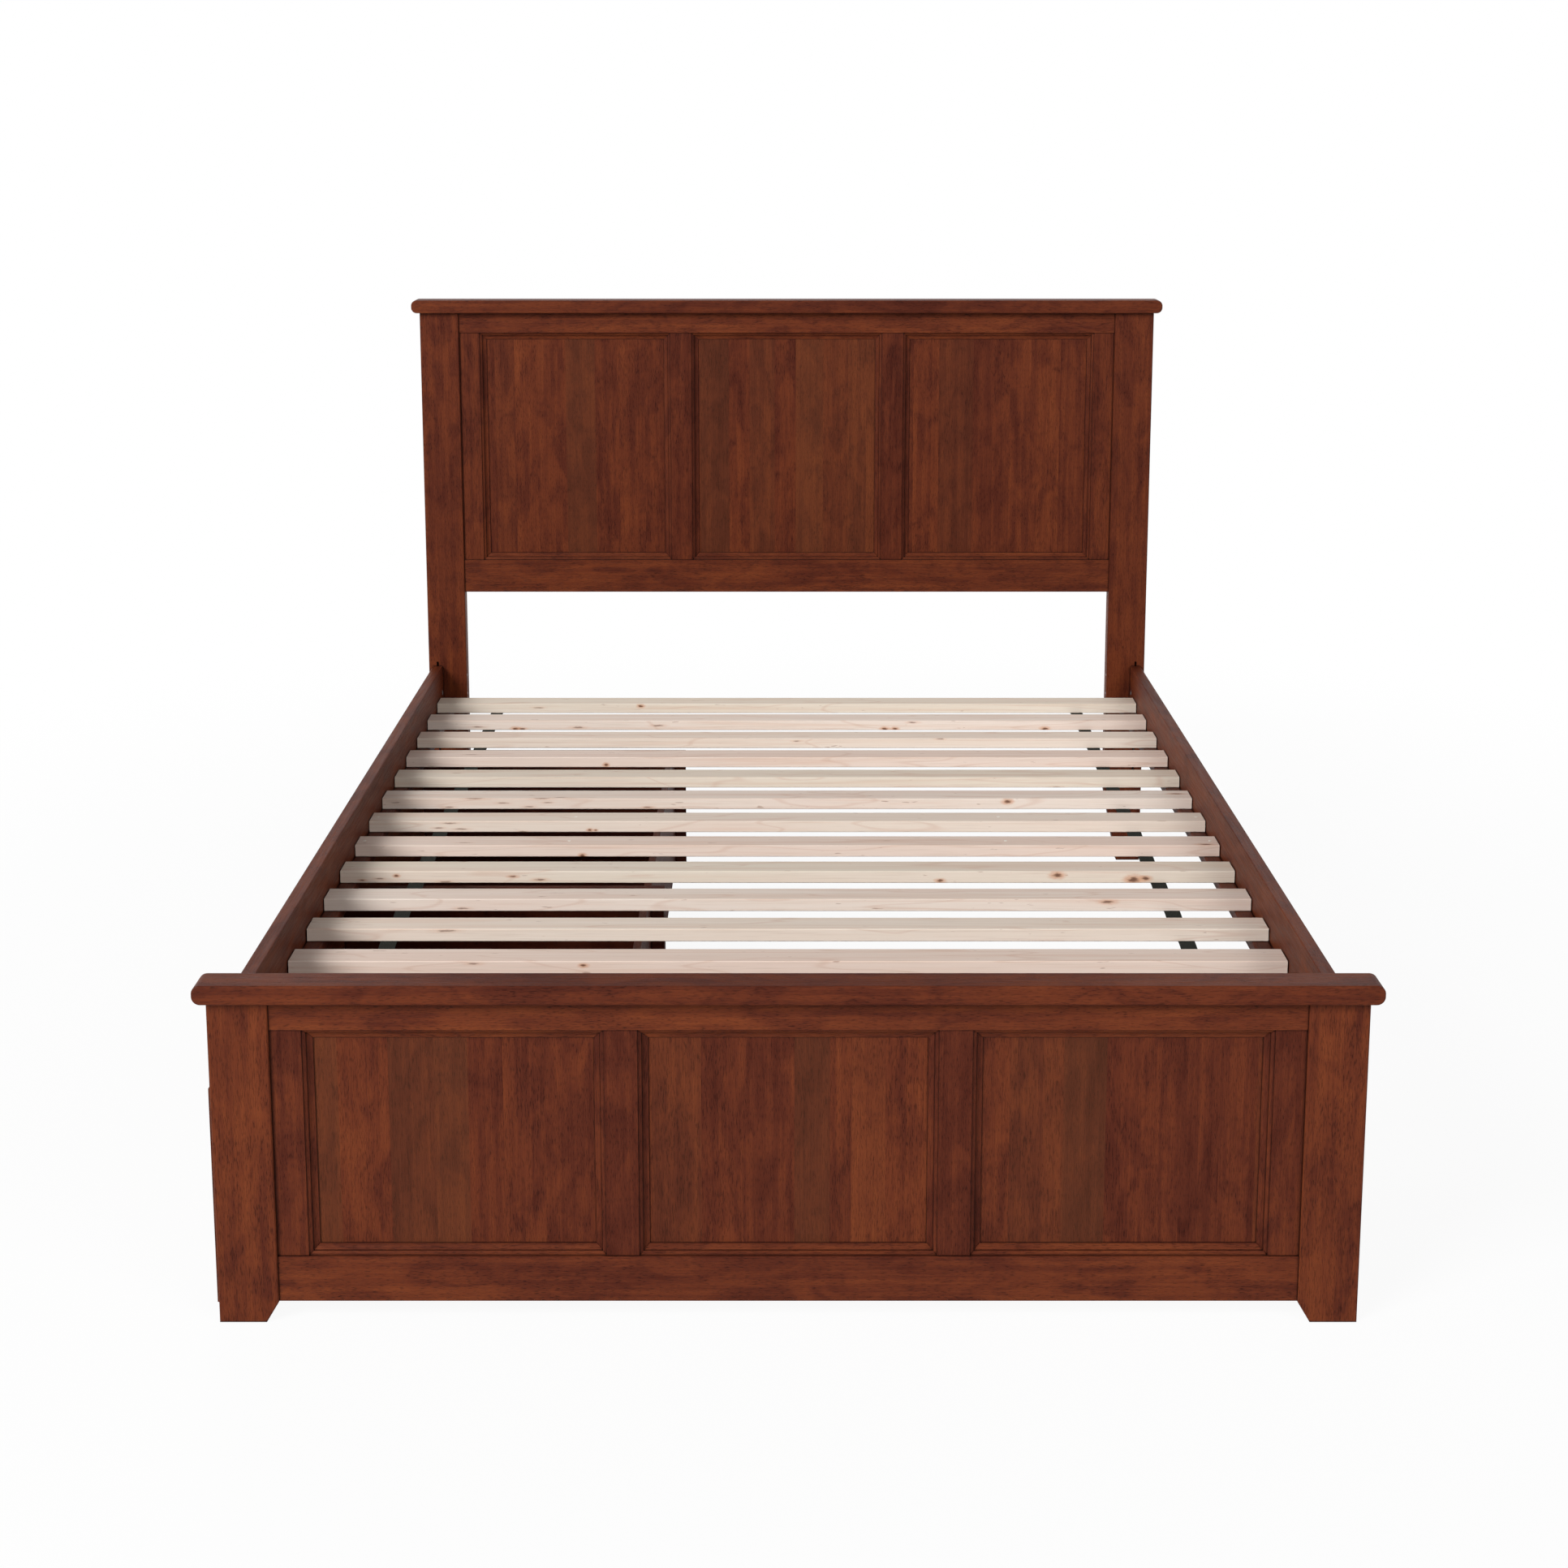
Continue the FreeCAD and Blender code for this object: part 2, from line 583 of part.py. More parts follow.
def plain_board(label, x, y, z, corner, edge, edge_axis):
    """A plain board with bevelled edges along one axis."""
    body = new_body(label)
    wide, deep, tall = corner
    sketch = sketch_on(body, PLANE_ALONG_Z)
    rectangle(sketch, (0, 0), (wide, deep))
    pad(body, sketch, tall)
    ease_edges(body, "Chamfer", edge, lambda line: runs_along(line, edge_axis))
    place(body, x, y, z)
    return body


def slat_ledge(label, side):
    start = side * rail_inner_face - (size.ledge_width if side == RIGHT else as_size(0))
    corner = (size.ledge_width, size.rail_length, size.ledge_height)
    nodes.append(plain_board(label, start, foot_back, ledge_top - size.ledge_height, corner,
                             size.ledge_edge, "y"))


def slats():
    length = 2 * (rail_inner_face - size.slat_side_gap)
    run = size.rail_length - 2 * size.slat_end_gap - size.slat_width
    for number in range(SLAT_COUNT):
        start = foot_back + size.slat_end_gap + run * number / (SLAT_COUNT - 1)
        corner = (length, size.slat_width, size.slat_thickness)
        nodes.append(plain_board(f"slat_{number + 1:02d}", -length / 2, start, ledge_top, corner,
                                 size.slat_edge, "x"))


def slat_straps():
    """Two flat webbing straps under the slats, from the first slat to the last."""
    length = size.rail_length - 2 * size.slat_end_gap
    straps = []
    for side in (LEFT, RIGHT):
        strap = doc.addObject("Part::Box", "strap")
        bind(strap, "Length", size.strap_width)
        bind(strap, "Width", length)
        bind(strap, "Height", size.strap_thickness)
        middle = rail_inner_face - size.ledge_width - size.strap_inset - size.strap_width / 2
        place(strap, side * middle - size.strap_width / 2,
              foot_back + size.slat_end_gap, ledge_top - size.strap_thickness)
        straps.append(strap)
    group("slat_straps", straps)


# Hooks of the side rails
def hook_plate(side, end, rail_end):
    """A steel plate in the kerf of a rail end, with two hooks that drop over the pins of the post."""
    body = new_body("hook_plate")
    back = size.hook_plate_length
    beak = size.hook_reach - size.hook_beak
    low = hook_top - size.hook_plate_height
    rail_face = as_size(0)
    shape = [(rail_face, low), (-back, low), (-back, hook_top)]
    for number, top in enumerate(hook_heights):
        arm_low = top - size.hook_arm
        point_low = arm_low - size.hook_beak_drop
        if number:
            shape.append((rail_face, top))
        shape += [(size.hook_reach, top), (size.hook_reach, point_low), (beak, point_low),
                  (beak, arm_low), (rail_face, arm_low)]
    sketch = sketch_on(body, PLANE_ALONG_X)
    outline(sketch, [(end * along, height) for along, height in shape])
    pad(body, sketch, size.hook_thickness, "Symmetric")
    hole = sketch_on(body, PLANE_ALONG_X)
    circle(hole, (-end * size.rail_pin_inset, rail_pin_height), size.rail_pin_radius + size.pin_clearance)
    cut(body, hole, size.hook_thickness)
    place(body, side * rail_middle, rail_end, 0)
    return body


def hook_hardware():
    """The hook plates, the dowels that hold them in the rails and the pins that carry them."""
    pieces = []
    for side in (LEFT, RIGHT):
        for end, rail_end in ((FOOT, foot_back), (HEAD, head_face)):
            pieces.append(hook_plate(side, end, rail_end))
            for height in post_pin_heights:
                pin = cylinder("post_pin", size.post_pin_radius, post_pin_length, (side, 0, 0))
                place(pin, side * (half_width - size.post_width), rail_end + end * pin_depth, height)
                pieces.append(pin)
            dowel = cylinder("rail_dowel", size.rail_pin_radius, rail_pin_length, (side, 0, 0))
            place(dowel, side * rail_inner_face, rail_end - end * size.rail_pin_inset, rail_pin_height)
            pieces.append(dowel)
    group("rail_hook_hardware", pieces)


# Drawers
drawer_face = -(half_width - size.side_rail_setback + size.drawer_rail_gap)
drawer_run = size.rail_length - size.drawer_leg_gap - size.drawer_head_room
front_length = (drawer_run - size.drawer_spacing * (len(DRAWERS) - 1)) / len(DRAWERS)
box_length = front_length - 2 * size.drawer_box_inset
groove_low = size.drawer_side_rise + size.bottom_rise
groove_high = groove_low + size.bottom_thickness + size.drawer_joint_gap
back_outer = size.drawer_side_length - size.drawer_back_inset
back_inner = back_outer - size.drawer_wall
box_top = size.drawer_side_rise + size.drawer_side_height


def drawer_front(label, start):
    """The front board: bevelled top edge, hand hold and a groove for the bottom."""
    body = new_body(label)
    low = size.drawer_front_rise
    top = low + size.drawer_front_height
    thick = size.drawer_front_thickness
    section = sketch_on(body, PLANE_ALONG_Y)
    outline(section, [(0, low), (-thick, low), (-thick, top - size.drawer_front_bevel_drop),
                      (size.drawer_front_bevel - thick, top), (0, top)])
    pad(body, section, front_length, against_normal=True)
    middle = front_length / 2
    half_run = (size.hand_hold_length - size.hand_hold_height) / 2
    half_tall = size.hand_hold_height / 2
    height = top - size.hand_hold_drop
    hold = sketch_on(body, PLANE_ALONG_X)
    low_side, high_side = height - half_tall, height + half_tall
    tip = half_run + half_tall
    points = [(middle - half_run, low_side), (middle + half_run, low_side), (middle + tip, height),
              (middle + half_run, high_side), (middle - half_run, high_side), (middle - tip, height)]
    bulge = half_tall * QUARTER_BULGE
    outline(hold, points, {1: (bulge, (1, -1)), 2: (bulge, (1, 1)),
                           4: (bulge, (-1, 1)), 5: (bulge, (-1, -1))})
    cut(body, hold, thick + CUT_MARGIN)
    groove = sketch_on(body, PLANE_ALONG_X)
    inset = size.drawer_box_inset + size.drawer_wall - size.bottom_groove
    rectangle(groove, (inset, groove_low), (front_length - inset, groove_high))
    cut(body, groove, size.bottom_groove)
    place(body, drawer_face, start, 0)
    nodes.append(body)


def drawer_side(label, start, inner_side):
    """A side board with the groove of the bottom and the dado of the back on its inner face."""
    body = new_body(label)
    sketch = sketch_on(body, PLANE_ALONG_Y)
    rectangle(sketch, (0, size.drawer_side_rise), (size.drawer_side_length, box_top))
    pad(body, sketch, size.drawer_wall, against_normal=True)
    ease_edges(body, "Fillet", size.drawer_edge,
               lambda edge: runs_along(edge, "x") and lies_at(edge, "z", box_top))
    inner_face = size.drawer_wall if inner_side == HEAD else as_size(0)
    groove = sketch_on(body, PLANE_ALONG_Y, -inner_face)
    rectangle(groove, (-CUT_MARGIN, groove_low), (back_inner + size.bottom_groove, groove_high))
    cut(body, groove, size.bottom_groove)
    dado = sketch_on(body, PLANE_ALONG_Y, -inner_face)
    gap = size.drawer_joint_gap
    rectangle(dado, (back_inner - gap, size.drawer_side_rise - CUT_MARGIN),
              (back_outer + gap, box_top + CUT_MARGIN))
    cut(body, dado, size.drawer_dado)
    place(body, drawer_face, start, 0)
    nodes.append(body)


def drawer_back(label, start):
    """The back board, let into the sides, with a groove for the bottom."""
    body = new_body(label)
    inset = size.drawer_wall - size.drawer_dado + size.drawer_joint_gap
    sketch = sketch_on(body, PLANE_ALONG_X)
    rectangle(sketch, (0, size.drawer_side_rise), (box_length - 2 * inset, box_top))
    pad(body, sketch, size.drawer_wall)
    ease_edges(body, "Fillet", size.drawer_edge,
               lambda edge: runs_along(edge, "y") and lies_at(edge, "z", box_top))
    groove = sketch_on(body, PLANE_ALONG_X)
    rectangle(groove, (-CUT_MARGIN, groove_low), (box_length, groove_high))
    cut(body, groove, size.bottom_groove)
    place(body, drawer_face + back_inner, start + inset, 0)
    nodes.append(body)


def drawer_bottom(label, start):
    """A thin board that lies in the grooves of the front, the sides and the back."""
    body = new_body(label)
    reach = size.bottom_groove - size.drawer_joint_gap
    inset = size.drawer_wall - reach
    sketch = sketch_on(body, PLANE_ALONG_Z)
    rectangle(sketch, (0, 0), (back_inner + 2 * reach, box_length - 2 * inset))
    pad(body, sketch, size.bottom_thickness)
    place(body, drawer_face - reach, start + inset, groove_low)
    nodes.append(body)


# Casters
def caster_housing(x, y):
    """A plate under the drawer bottom with two tapered cheeks that hold the axle."""
    body = new_body("caster_housing")
    inner = size.wheel_width + 2 * size.wheel_side_gap
    plate_low = groove_low - size.caster_plate_thickness
    half = size.cheek_width / 2
    cheeks = sketch_on(body, PLANE_ALONG_Y)
    lower = size.wheel_radius
    foot = size.cheek_foot / 2
    foot_low = lower - size.cheek_drop
    outline(cheeks, [(-foot, foot_low), (foot, foot_low), (half, plate_low), (-half, plate_low)])
    pad(body, cheeks, inner + 2 * size.cheek_thickness, "Symmetric")
    plate = sketch_on(body, PLANE_ALONG_Z, plate_low)
    half_length = size.caster_plate_length / 2
    half_width_across = size.caster_plate_width / 2
    rectangle(plate, (-half_length, -half_width_across), (half_length, half_width_across))
    pad(body, plate, size.caster_plate_thickness)
    room = sketch_on(body, PLANE_ALONG_Y)
    rectangle(room, (-half_length, 0), (half_length, plate_low))
    cut(body, room, inner / 2)
    axle = sketch_on(body, PLANE_ALONG_Y)
    circle(axle, (0, lower), size.axle_radius)
    pad(body, axle, inner + size.cheek_thickness, "Symmetric")
    place(body, x, y, 0)
    return body


def caster_wheel(x, y):
    body = new_body("caster_wheel")
    sketch = sketch_on(body, PLANE_ALONG_Y)
    middle = (as_size(0), as_size(0))
    circle(sketch, middle, size.wheel_radius)
    circle(sketch, middle, size.axle_radius + size.axle_clearance)
    pad(body, sketch, size.wheel_width, "Symmetric")
    place(body, x, y, size.wheel_radius)
    return body


def casters(name, start):
    """Two pairs of fixed casters under a drawer: their housings and wheels."""
    sides = (start + size.drawer_wall + size.caster_side_inset,
             start + box_length - size.drawer_wall - size.caster_side_inset)
    pairs = {"front": drawer_face + size.caster_front_inset,
             "rear": drawer_face + size.drawer_side_length - size.caster_rear_inset}
    housings = []
    for pair, x in pairs.items():
        housings += [caster_housing(x, y) for y in sides]
        group(f"{name}_{pair}_wheels", [caster_wheel(x, y) for y in sides])
    group(f"{name}_caster_housings", housings)


def drawer(name, start):
    box_start = start + size.drawer_box_inset
    drawer_front(f"{name}_front", start)
    drawer_side(f"{name}_near_side", box_start, HEAD)
    drawer_side(f"{name}_far_side", box_start + box_length - size.drawer_wall, FOOT)
    drawer_back(f"{name}_back", box_start)
    drawer_bottom(f"{name}_bottom", box_start)
    casters(name, box_start)


# The whole bed
head_corner = (size.head_taper_width, size.head_taper_height)
foot_corner = (size.foot_corner_width, size.foot_corner_height)
for name, side in (("left", LEFT), ("right", RIGHT)):
    post(f"headboard_{name}_post", side, size.head_post_height, head_corner, head_frame, head_face, FOOT,
         (slot_top, slot_top - size.spare_slot_drop))
    post(f"footboard_{name}_leg", side, size.foot_leg_height, foot_corner, foot_frame, foot_face, HEAD,
         (slot_top,))
    side_rail(f"{name}_side_rail", side)
    slat_ledge(f"{name}_slat_ledge", side)
cap("headboard_cap", size.head_post_height, head_face)
cap("footboard_cap", size.foot_leg_height, foot_face)
frame_and_panels("headboard", head_frame, head_face)
frame_and_panels("footboard", foot_frame, foot_face)
slats()
slat_straps()
hook_hardware()
for number, name in enumerate(DRAWERS):
    step = front_length + size.drawer_spacing
    drawer(name, foot_back + size.drawer_leg_gap + number * step)
doc.recompute()

for thing in doc.Objects:
    if "Invalid" in thing.State or "Error" in thing.State:
        raise RuntimeError(f"{thing.Label} failed: {thing.State}")
for node in nodes:
    if node.Shape.isNull() or not node.Shape.isValid():
        raise RuntimeError(f"{node.Label} has no valid shape")

os.makedirs("parts", exist_ok=True)
for node in nodes:
    node.Shape.exportStep(f"parts/{node.Label}.step")
print(f"{len(nodes)} nodes written")
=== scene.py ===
# %% [markdown]
# # Dressing a storage bed
# The boards of this bed come from a CAD model, and they already stand where they belong. This lesson
# gives them their looks: a red-brown stain with open pores, pale bare slats, woven straps, plated
# hooks and small wheels. The CAD boards are never moved, so every finish is made with shader nodes,
# and only a few small or soft pieces are modelled here.

# %% Load the bed
import json
import math

import bmesh
import bpy
from mathutils import Matrix, Vector

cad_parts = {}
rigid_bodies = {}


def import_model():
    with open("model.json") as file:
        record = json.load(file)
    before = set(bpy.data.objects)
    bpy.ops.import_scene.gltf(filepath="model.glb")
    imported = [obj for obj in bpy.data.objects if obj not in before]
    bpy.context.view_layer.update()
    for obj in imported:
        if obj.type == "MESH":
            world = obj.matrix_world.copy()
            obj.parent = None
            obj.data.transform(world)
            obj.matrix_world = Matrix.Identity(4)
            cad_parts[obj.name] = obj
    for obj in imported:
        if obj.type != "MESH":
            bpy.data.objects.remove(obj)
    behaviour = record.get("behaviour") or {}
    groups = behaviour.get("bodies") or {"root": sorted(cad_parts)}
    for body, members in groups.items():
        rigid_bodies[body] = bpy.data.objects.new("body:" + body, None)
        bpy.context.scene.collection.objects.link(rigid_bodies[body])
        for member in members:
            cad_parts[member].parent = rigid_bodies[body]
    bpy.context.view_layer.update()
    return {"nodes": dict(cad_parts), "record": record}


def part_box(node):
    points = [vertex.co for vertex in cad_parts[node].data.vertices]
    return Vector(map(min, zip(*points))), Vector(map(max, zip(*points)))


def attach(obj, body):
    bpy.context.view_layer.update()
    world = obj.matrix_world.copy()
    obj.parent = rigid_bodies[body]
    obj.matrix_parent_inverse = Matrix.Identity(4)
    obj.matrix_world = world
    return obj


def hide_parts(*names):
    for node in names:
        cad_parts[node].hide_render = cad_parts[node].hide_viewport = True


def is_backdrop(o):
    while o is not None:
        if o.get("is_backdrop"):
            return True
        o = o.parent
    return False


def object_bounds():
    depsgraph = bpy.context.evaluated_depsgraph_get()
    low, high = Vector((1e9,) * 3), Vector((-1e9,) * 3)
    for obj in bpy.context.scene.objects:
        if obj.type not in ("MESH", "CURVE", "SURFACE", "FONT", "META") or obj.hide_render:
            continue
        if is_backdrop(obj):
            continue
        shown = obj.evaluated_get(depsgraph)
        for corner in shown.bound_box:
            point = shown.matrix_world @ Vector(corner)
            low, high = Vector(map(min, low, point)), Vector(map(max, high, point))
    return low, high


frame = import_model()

nodes = frame["nodes"]

# %% [markdown]
# ## The camera
# The picture was taken from in front of the footboard, at about eye height, with upright posts. A
# camera that looks down makes upright lines lean together. A lens shift would avoid that, but every
# other view of the bed keeps the shift as well, so most of the drop is a tilt and only a little of it
# is a shift.

# %% Camera
CAMERA_PLACE = (-0.006, -4.124, 1.685)
CAMERA_TILT = math.radians(10.24)
CAMERA_LENS = 54.27
CAMERA_SHIFT = -0.16
FILM_WIDTH = 36

camera_data = bpy.data.cameras.new("camera")
camera_data.sensor_width = FILM_WIDTH
camera_data.lens = CAMERA_LENS
camera_data.shift_y = CAMERA_SHIFT
camera = bpy.data.objects.new("camera", camera_data)
camera.location = CAMERA_PLACE
camera.rotation_euler = (math.pi / 2 - CAMERA_TILT, 0, 0)
scene = bpy.context.scene
scene.collection.objects.link(camera)
scene.camera = camera

# %% [markdown]
# ## Helpers for shader nodes
# A finish is a small program drawn as nodes. These helpers add one node at a time: a socket that is
# handed in gets a link, and anything else is set as a value. Colours are written as they look on the
# screen, from 0 to 255, and are turned into the linear light that Blender works with.

# %% Node helpers
def colour(red, green, blue):
    """A screen colour as linear light."""
    def linear(value):
        value = value / 255
        return value / 12.92 if value <= 0.04045 else ((value + 0.055) / 1.055) ** 2.4
    return linear(red), linear(green), linear(blue), 1


def feed(tree, socket, value):
    if isinstance(value, bpy.types.NodeSocket):
        tree.links.new(value, socket)
    else:
        socket.default_value = value


def add(tree, kind, inputs, **settings):
    """Adds a shader node, with its inputs by name or by number."""
    made = tree.nodes.new("ShaderNode" + kind)
    for name, value in settings.items():
        setattr(made, name, value)
    for key, value in inputs.items():
        feed(tree, made.inputs[key], value)
    return made


def maths(tree, operation, *values):
    return add(tree, "Math", dict(enumerate(values)), operation=operation).outputs[0]


def object_space(tree):
    """The coordinates of the piece itself, in metres."""
    return add(tree, "TexCoord", {}).outputs["Object"]


def noise(tree, vector, per_metre, detail=2.0, roughness=0.5, distortion=0.0):
    """Noise with so many waves in a metre, along each axis of the vector."""
    vector = add(tree, "VectorMath", {0: vector, 1: per_metre}, operation="MULTIPLY").outputs[0]
    values = {"Vector": vector, "Scale": 1.0, "Detail": detail, "Roughness": roughness,
              "Distortion": distortion}
    return add(tree, "TexNoise", values).outputs["Fac"]


def limit(tree, value, low, high, start=0.0, end=1.0):
    """Maps low to high onto start to end, smoothly, and holds the ends."""
    values = {"Value": value, "From Min": low, "From Max": high, "To Min": start, "To Max": end}
    return add(tree, "MapRange", values, interpolation_type="SMOOTHSTEP").outputs["Result"]


def mix(tree, share, first, second, blend_type="MIX"):
    """Mixes two colours. The colour sockets of a Mix node are found by number."""
    settings = {"data_type": "RGBA", "blend_type": blend_type}
    return add(tree, "Mix", {0: share, 6: first, 7: second}, **settings).outputs[2]


def ramp(tree, value, stops):
    made = add(tree, "ValToRGB", {"Fac": value})
    marks = made.color_ramp.elements
    while len(marks) < len(stops):
        marks.new(1)
    for mark, (position, shade) in zip(marks, stops):
        mark.position = position
        mark.color = shade
    return made.outputs["Color"]


def new_group(name, inputs, outputs):
    """A node group with named sockets: its tree, its inputs and the sockets of its outputs."""
    tree = bpy.data.node_groups.new(name, "ShaderNodeTree")
    for label, kind in inputs.items():
        tree.interface.new_socket(label, in_out="INPUT", socket_type="NodeSocket" + kind)
    for label, kind in outputs.items():
        tree.interface.new_socket(label, in_out="OUTPUT", socket_type="NodeSocket" + kind)
    given = tree.nodes.new("NodeGroupInput").outputs
    result = tree.nodes.new("NodeGroupOutput").inputs
    return tree, given, result


def place_group(tree, group, inputs):
    made = tree.nodes.new("ShaderNodeGroup")
    made.node_tree = group
    for name, value in inputs.items():
        feed(tree, made.inputs[name], value)
    return made.outputs


def new_material(name):
    """A material, its node tree and its Principled shader."""
    material = bpy.data.materials.new(name)
    material.use_nodes = True
    return material, material.node_tree, material.node_tree.nodes["Principled BSDF"]


def roughen(tree, shader, height, depth, strength=1.0, normal=None):
    """Puts a height pattern on the shader as a bump of that depth in metres."""
    values = {"Height": height, "Distance": depth, "Strength": strength}
    if normal:
        values["Normal"] = normal
    tree.links.new(add(tree, "Bump", values).outputs["Normal"], shader.inputs["Normal"])


def dress(name, material):
    """Gives a CAD node or a piece one material."""
    piece = nodes.get(name) or bpy.data.objects[name]
    piece.data.materials.clear()
    piece.data.materials.append(material)


print("node helpers ready")

# %% [markdown]
# ## The studio
# The bed stands on white paper in soft light. A big lamp at the left of the camera models the
# mouldings, a weaker one at the right keeps the shadows open, one behind the bed lights its back
# without a mirror image of its own, and the sky fills in the rest. The sky is dimmer overhead,
# because the tops of the slats are darker than their fronts in the picture. The room behind the
# camera is dark, so that faces which look at the camera show their own colour, while the tops of the
# rails mirror the bright end of the studio and turn greyish. The paper is white because it glows
# evenly where the camera looks at it, not because more light falls on it, and a share of plain white
# paper in the mix keeps the shadow of the bed.

# %% Sky
scene.view_settings.view_transform = "Standard"
SKY_FILL = 0.3
SKY_ABOVE = 0.08
DARK_ROOM = 0.12

world = bpy.data.worlds.new("studio")
scene.world = world
world.use_nodes = True
tree = world.node_tree
ray = add(tree, "LightPath", {}).outputs
towards = add(tree, "SeparateXYZ", {0: add(tree, "TexCoord", {}).outputs["Generated"]}).outputs
fill = limit(tree, towards["Z"], 0.1, 0.8, SKY_FILL, SKY_ABOVE)
mirrored = limit(tree, towards["Y"], -0.5, 0.4, DARK_ROOM, 1)
shown = maths(tree, "MAXIMUM", ray["Is Camera Ray"], ray["Is Transmission Ray"])
strength = maths(tree, "MULTIPLY_ADD", shown, maths(tree, "SUBTRACT", 1, fill), fill)
gloss_change = maths(tree, "SUBTRACT", mirrored, fill)
strength = maths(tree, "MULTIPLY_ADD", ray["Is Glossy Ray"], gloss_change, strength)
sky = tree.nodes["Background"]
sky.inputs["Color"].default_value = (1, 1, 1, 1)
tree.links.new(strength, sky.inputs["Strength"])
print("white sky, fill", SKY_FILL, "at the horizon and", SKY_ABOVE, "overhead")

# %% Paper floor
PAPER_REACH = 30
PAPER_MOTTLE = (1, 1, 1)
NEAR_BED, FAR_FROM_BED = 1.5, 3.5
SHADED_GLOW = 0.93

paper, tree, plain = new_material("white_paper")
spot = object_space(tree)
tints = [(0, colour(238, 238, 238)), (1, colour(246, 246, 246))]
fibre = ramp(tree, noise(tree, spot, PAPER_MOTTLE, 4), tints)
tree.links.new(fibre, plain.inputs["Base Color"])
plain.inputs["Roughness"].default_value = 0.9
away = add(tree, "VectorMath", {0: spot}, operation="LENGTH").outputs["Value"]
glow_share = limit(tree, away, NEAR_BED, FAR_FROM_BED, SHADED_GLOW, 1)
share = maths(tree, "MULTIPLY", add(tree, "LightPath", {}).outputs["Is Camera Ray"], glow_share)
glow = add(tree, "Emission", {"Color": (1, 1, 1, 1), "Strength": 1})
blend = add(tree, "MixShader", {0: share, 1: plain.outputs[0], 2: glow.outputs[0]})
tree.links.new(blend.outputs[0], tree.nodes["Material Output"].inputs["Surface"])


def add_piece(name, shape):
    """Turns a bmesh into an object of the scene."""
    mesh = bpy.data.meshes.new(name)
    shape.to_mesh(mesh)
    shape.free()
    piece = bpy.data.objects.new(name, mesh)
    scene.collection.objects.link(piece)
    return piece


sheet = bmesh.new()
bmesh.ops.create_grid(sheet, x_segments=1, y_segments=1, size=PAPER_REACH)
paper_floor = add_piece("paper_floor", sheet)
paper_floor.data.materials.append(paper)
paper_floor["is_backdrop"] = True
print("paper floor", 2 * PAPER_REACH, "m across")

# %% Lamps
BED_MIDDLE = Vector((0, 0, 0.5))


def soft_lamp(name, place, width, power):
    """A square lamp that faces the middle of the bed, with its power in watts."""
    lamp = bpy.data.lights.new(name, "AREA")
    lamp.shape = "SQUARE"
    lamp.size = width
    lamp.energy = power
    holder = bpy.data.objects.new(name, lamp)
    holder.location = place
    holder.rotation_euler = (BED_MIDDLE - Vector(place)).to_track_quat("-Z", "Y").to_euler()
    scene.collection.objects.link(holder)
    return holder


soft_lamp("key_lamp", (-9.2, -10.1, 8.5), 6.3, 2260)
soft_lamp("fill_lamp", (6.2, -7.5, 5.6), 5, 370)
soft_lamp("back_lamp", (-2, 9, 2.4), 4, 420).visible_glossy = False
print("three soft lamps, the back one without a mirror image")

# %% [markdown]
# ## Stained wood
# The frame is a plantation hardwood under a red-brown stain and a satin lacquer. Seen close, the
# stain gathers in open pores, short dark dashes along the grain. From a step away there are streaks
# a finger wide, flame-like patches and soft clouds where the wood took more or less stain. Each of
# these is a noise that is stretched along the grain by its own amount. The corners of the mouldings
# get painted shade, which also stands for stain left behind there when the board is wiped, and the
# Ambient Occlusion node finds them. The pattern is a group, so that every board is the same wood,
# cut from its own place in the tree.

# %% Stained wood group
STAIN_DARK = colour(66, 26, 16)
STAIN_PLUM = colour(83, 37, 23)
STAIN_RED = colour(98, 46, 26)
STAIN_AMBER = colour(118, 59, 31)
STAIN_PORE = colour(30, 10, 5)
# Painted shade for the corners of the mouldings, which also stands for stain left behind there
CORNER_SHADE_AND_STAIN = colour(34, 14, 9)
CORNER_REACH = 0.006
# Waves in a metre, first along the grain and then both ways across it
CLOUDS = (3.2, 12, 12)
FLAMES = (9, 24, 24)
STREAKS = (1.6, 85, 85)
FIBRES = (14, 430, 430)
RIPPLE = (60, 16, 16)
PORES = (105, 940, 940)

stained, given, result = new_group(
    "stained wood", {"Vector": "Vector", "Tone": "Float"},
    {"Color": "Color", "Roughness": "Float", "Height": "Float"})
grain = given["Vector"]
clouds = limit(stained, noise(stained, grain, CLOUDS, 3, 0.55, 0.6), 0.3, 0.7)
flames = limit(stained, noise(stained, grain, FLAMES, 3, 0.6, 1), 0.32, 0.62)
streaks = limit(stained, noise(stained, grain, STREAKS, 3, 0.6, 0.4), 0.3, 0.7)
fibres = noise(stained, grain, FIBRES, 2, 0.6)
ripple = noise(stained, grain, RIPPLE, 2, 0.5, 0.8)
pores = limit(stained, noise(stained, grain, PORES, 1, 0.5), 0.53, 0.67)
corner = add(stained, "AmbientOcclusion", {"Distance": CORNER_REACH}, samples=6).outputs["AO"]

level = given["Tone"]
for pattern, share in ((clouds, 0.14), (flames, 0.2), (streaks, 0.18), (fibres, 0.34), (ripple, 0.08)):
    level = maths(stained, "MULTIPLY_ADD", pattern, share, level)
tints = [(0.18, STAIN_DARK), (0.42, STAIN_PLUM), (0.6, STAIN_RED), (0.9, STAIN_AMBER)]
shade = ramp(stained, level, tints)
pore_share = maths(stained, "MULTIPLY", pores, limit(stained, flames, 0, 1, 0.6, 0.35))
shade = mix(stained, pore_share, shade, STAIN_PORE)
# The Ambient Occlusion value paints shade, and stain left behind, into the corners of the mouldings
corner_shade_share = limit(stained, corner, 0.5, 0.88, 0.95, 0)
feed(stained, result["Color"], mix(stained, corner_shade_share, shade, CORNER_SHADE_AND_STAIN))
feed(stained, result["Roughness"], limit(stained, fibres, 0.2, 0.8, 0.36, 0.52))
feed(stained, result["Height"], maths(stained, "SUBTRACT", fibres, pores))
print("stained wood group with", len(stained.nodes), "nodes")

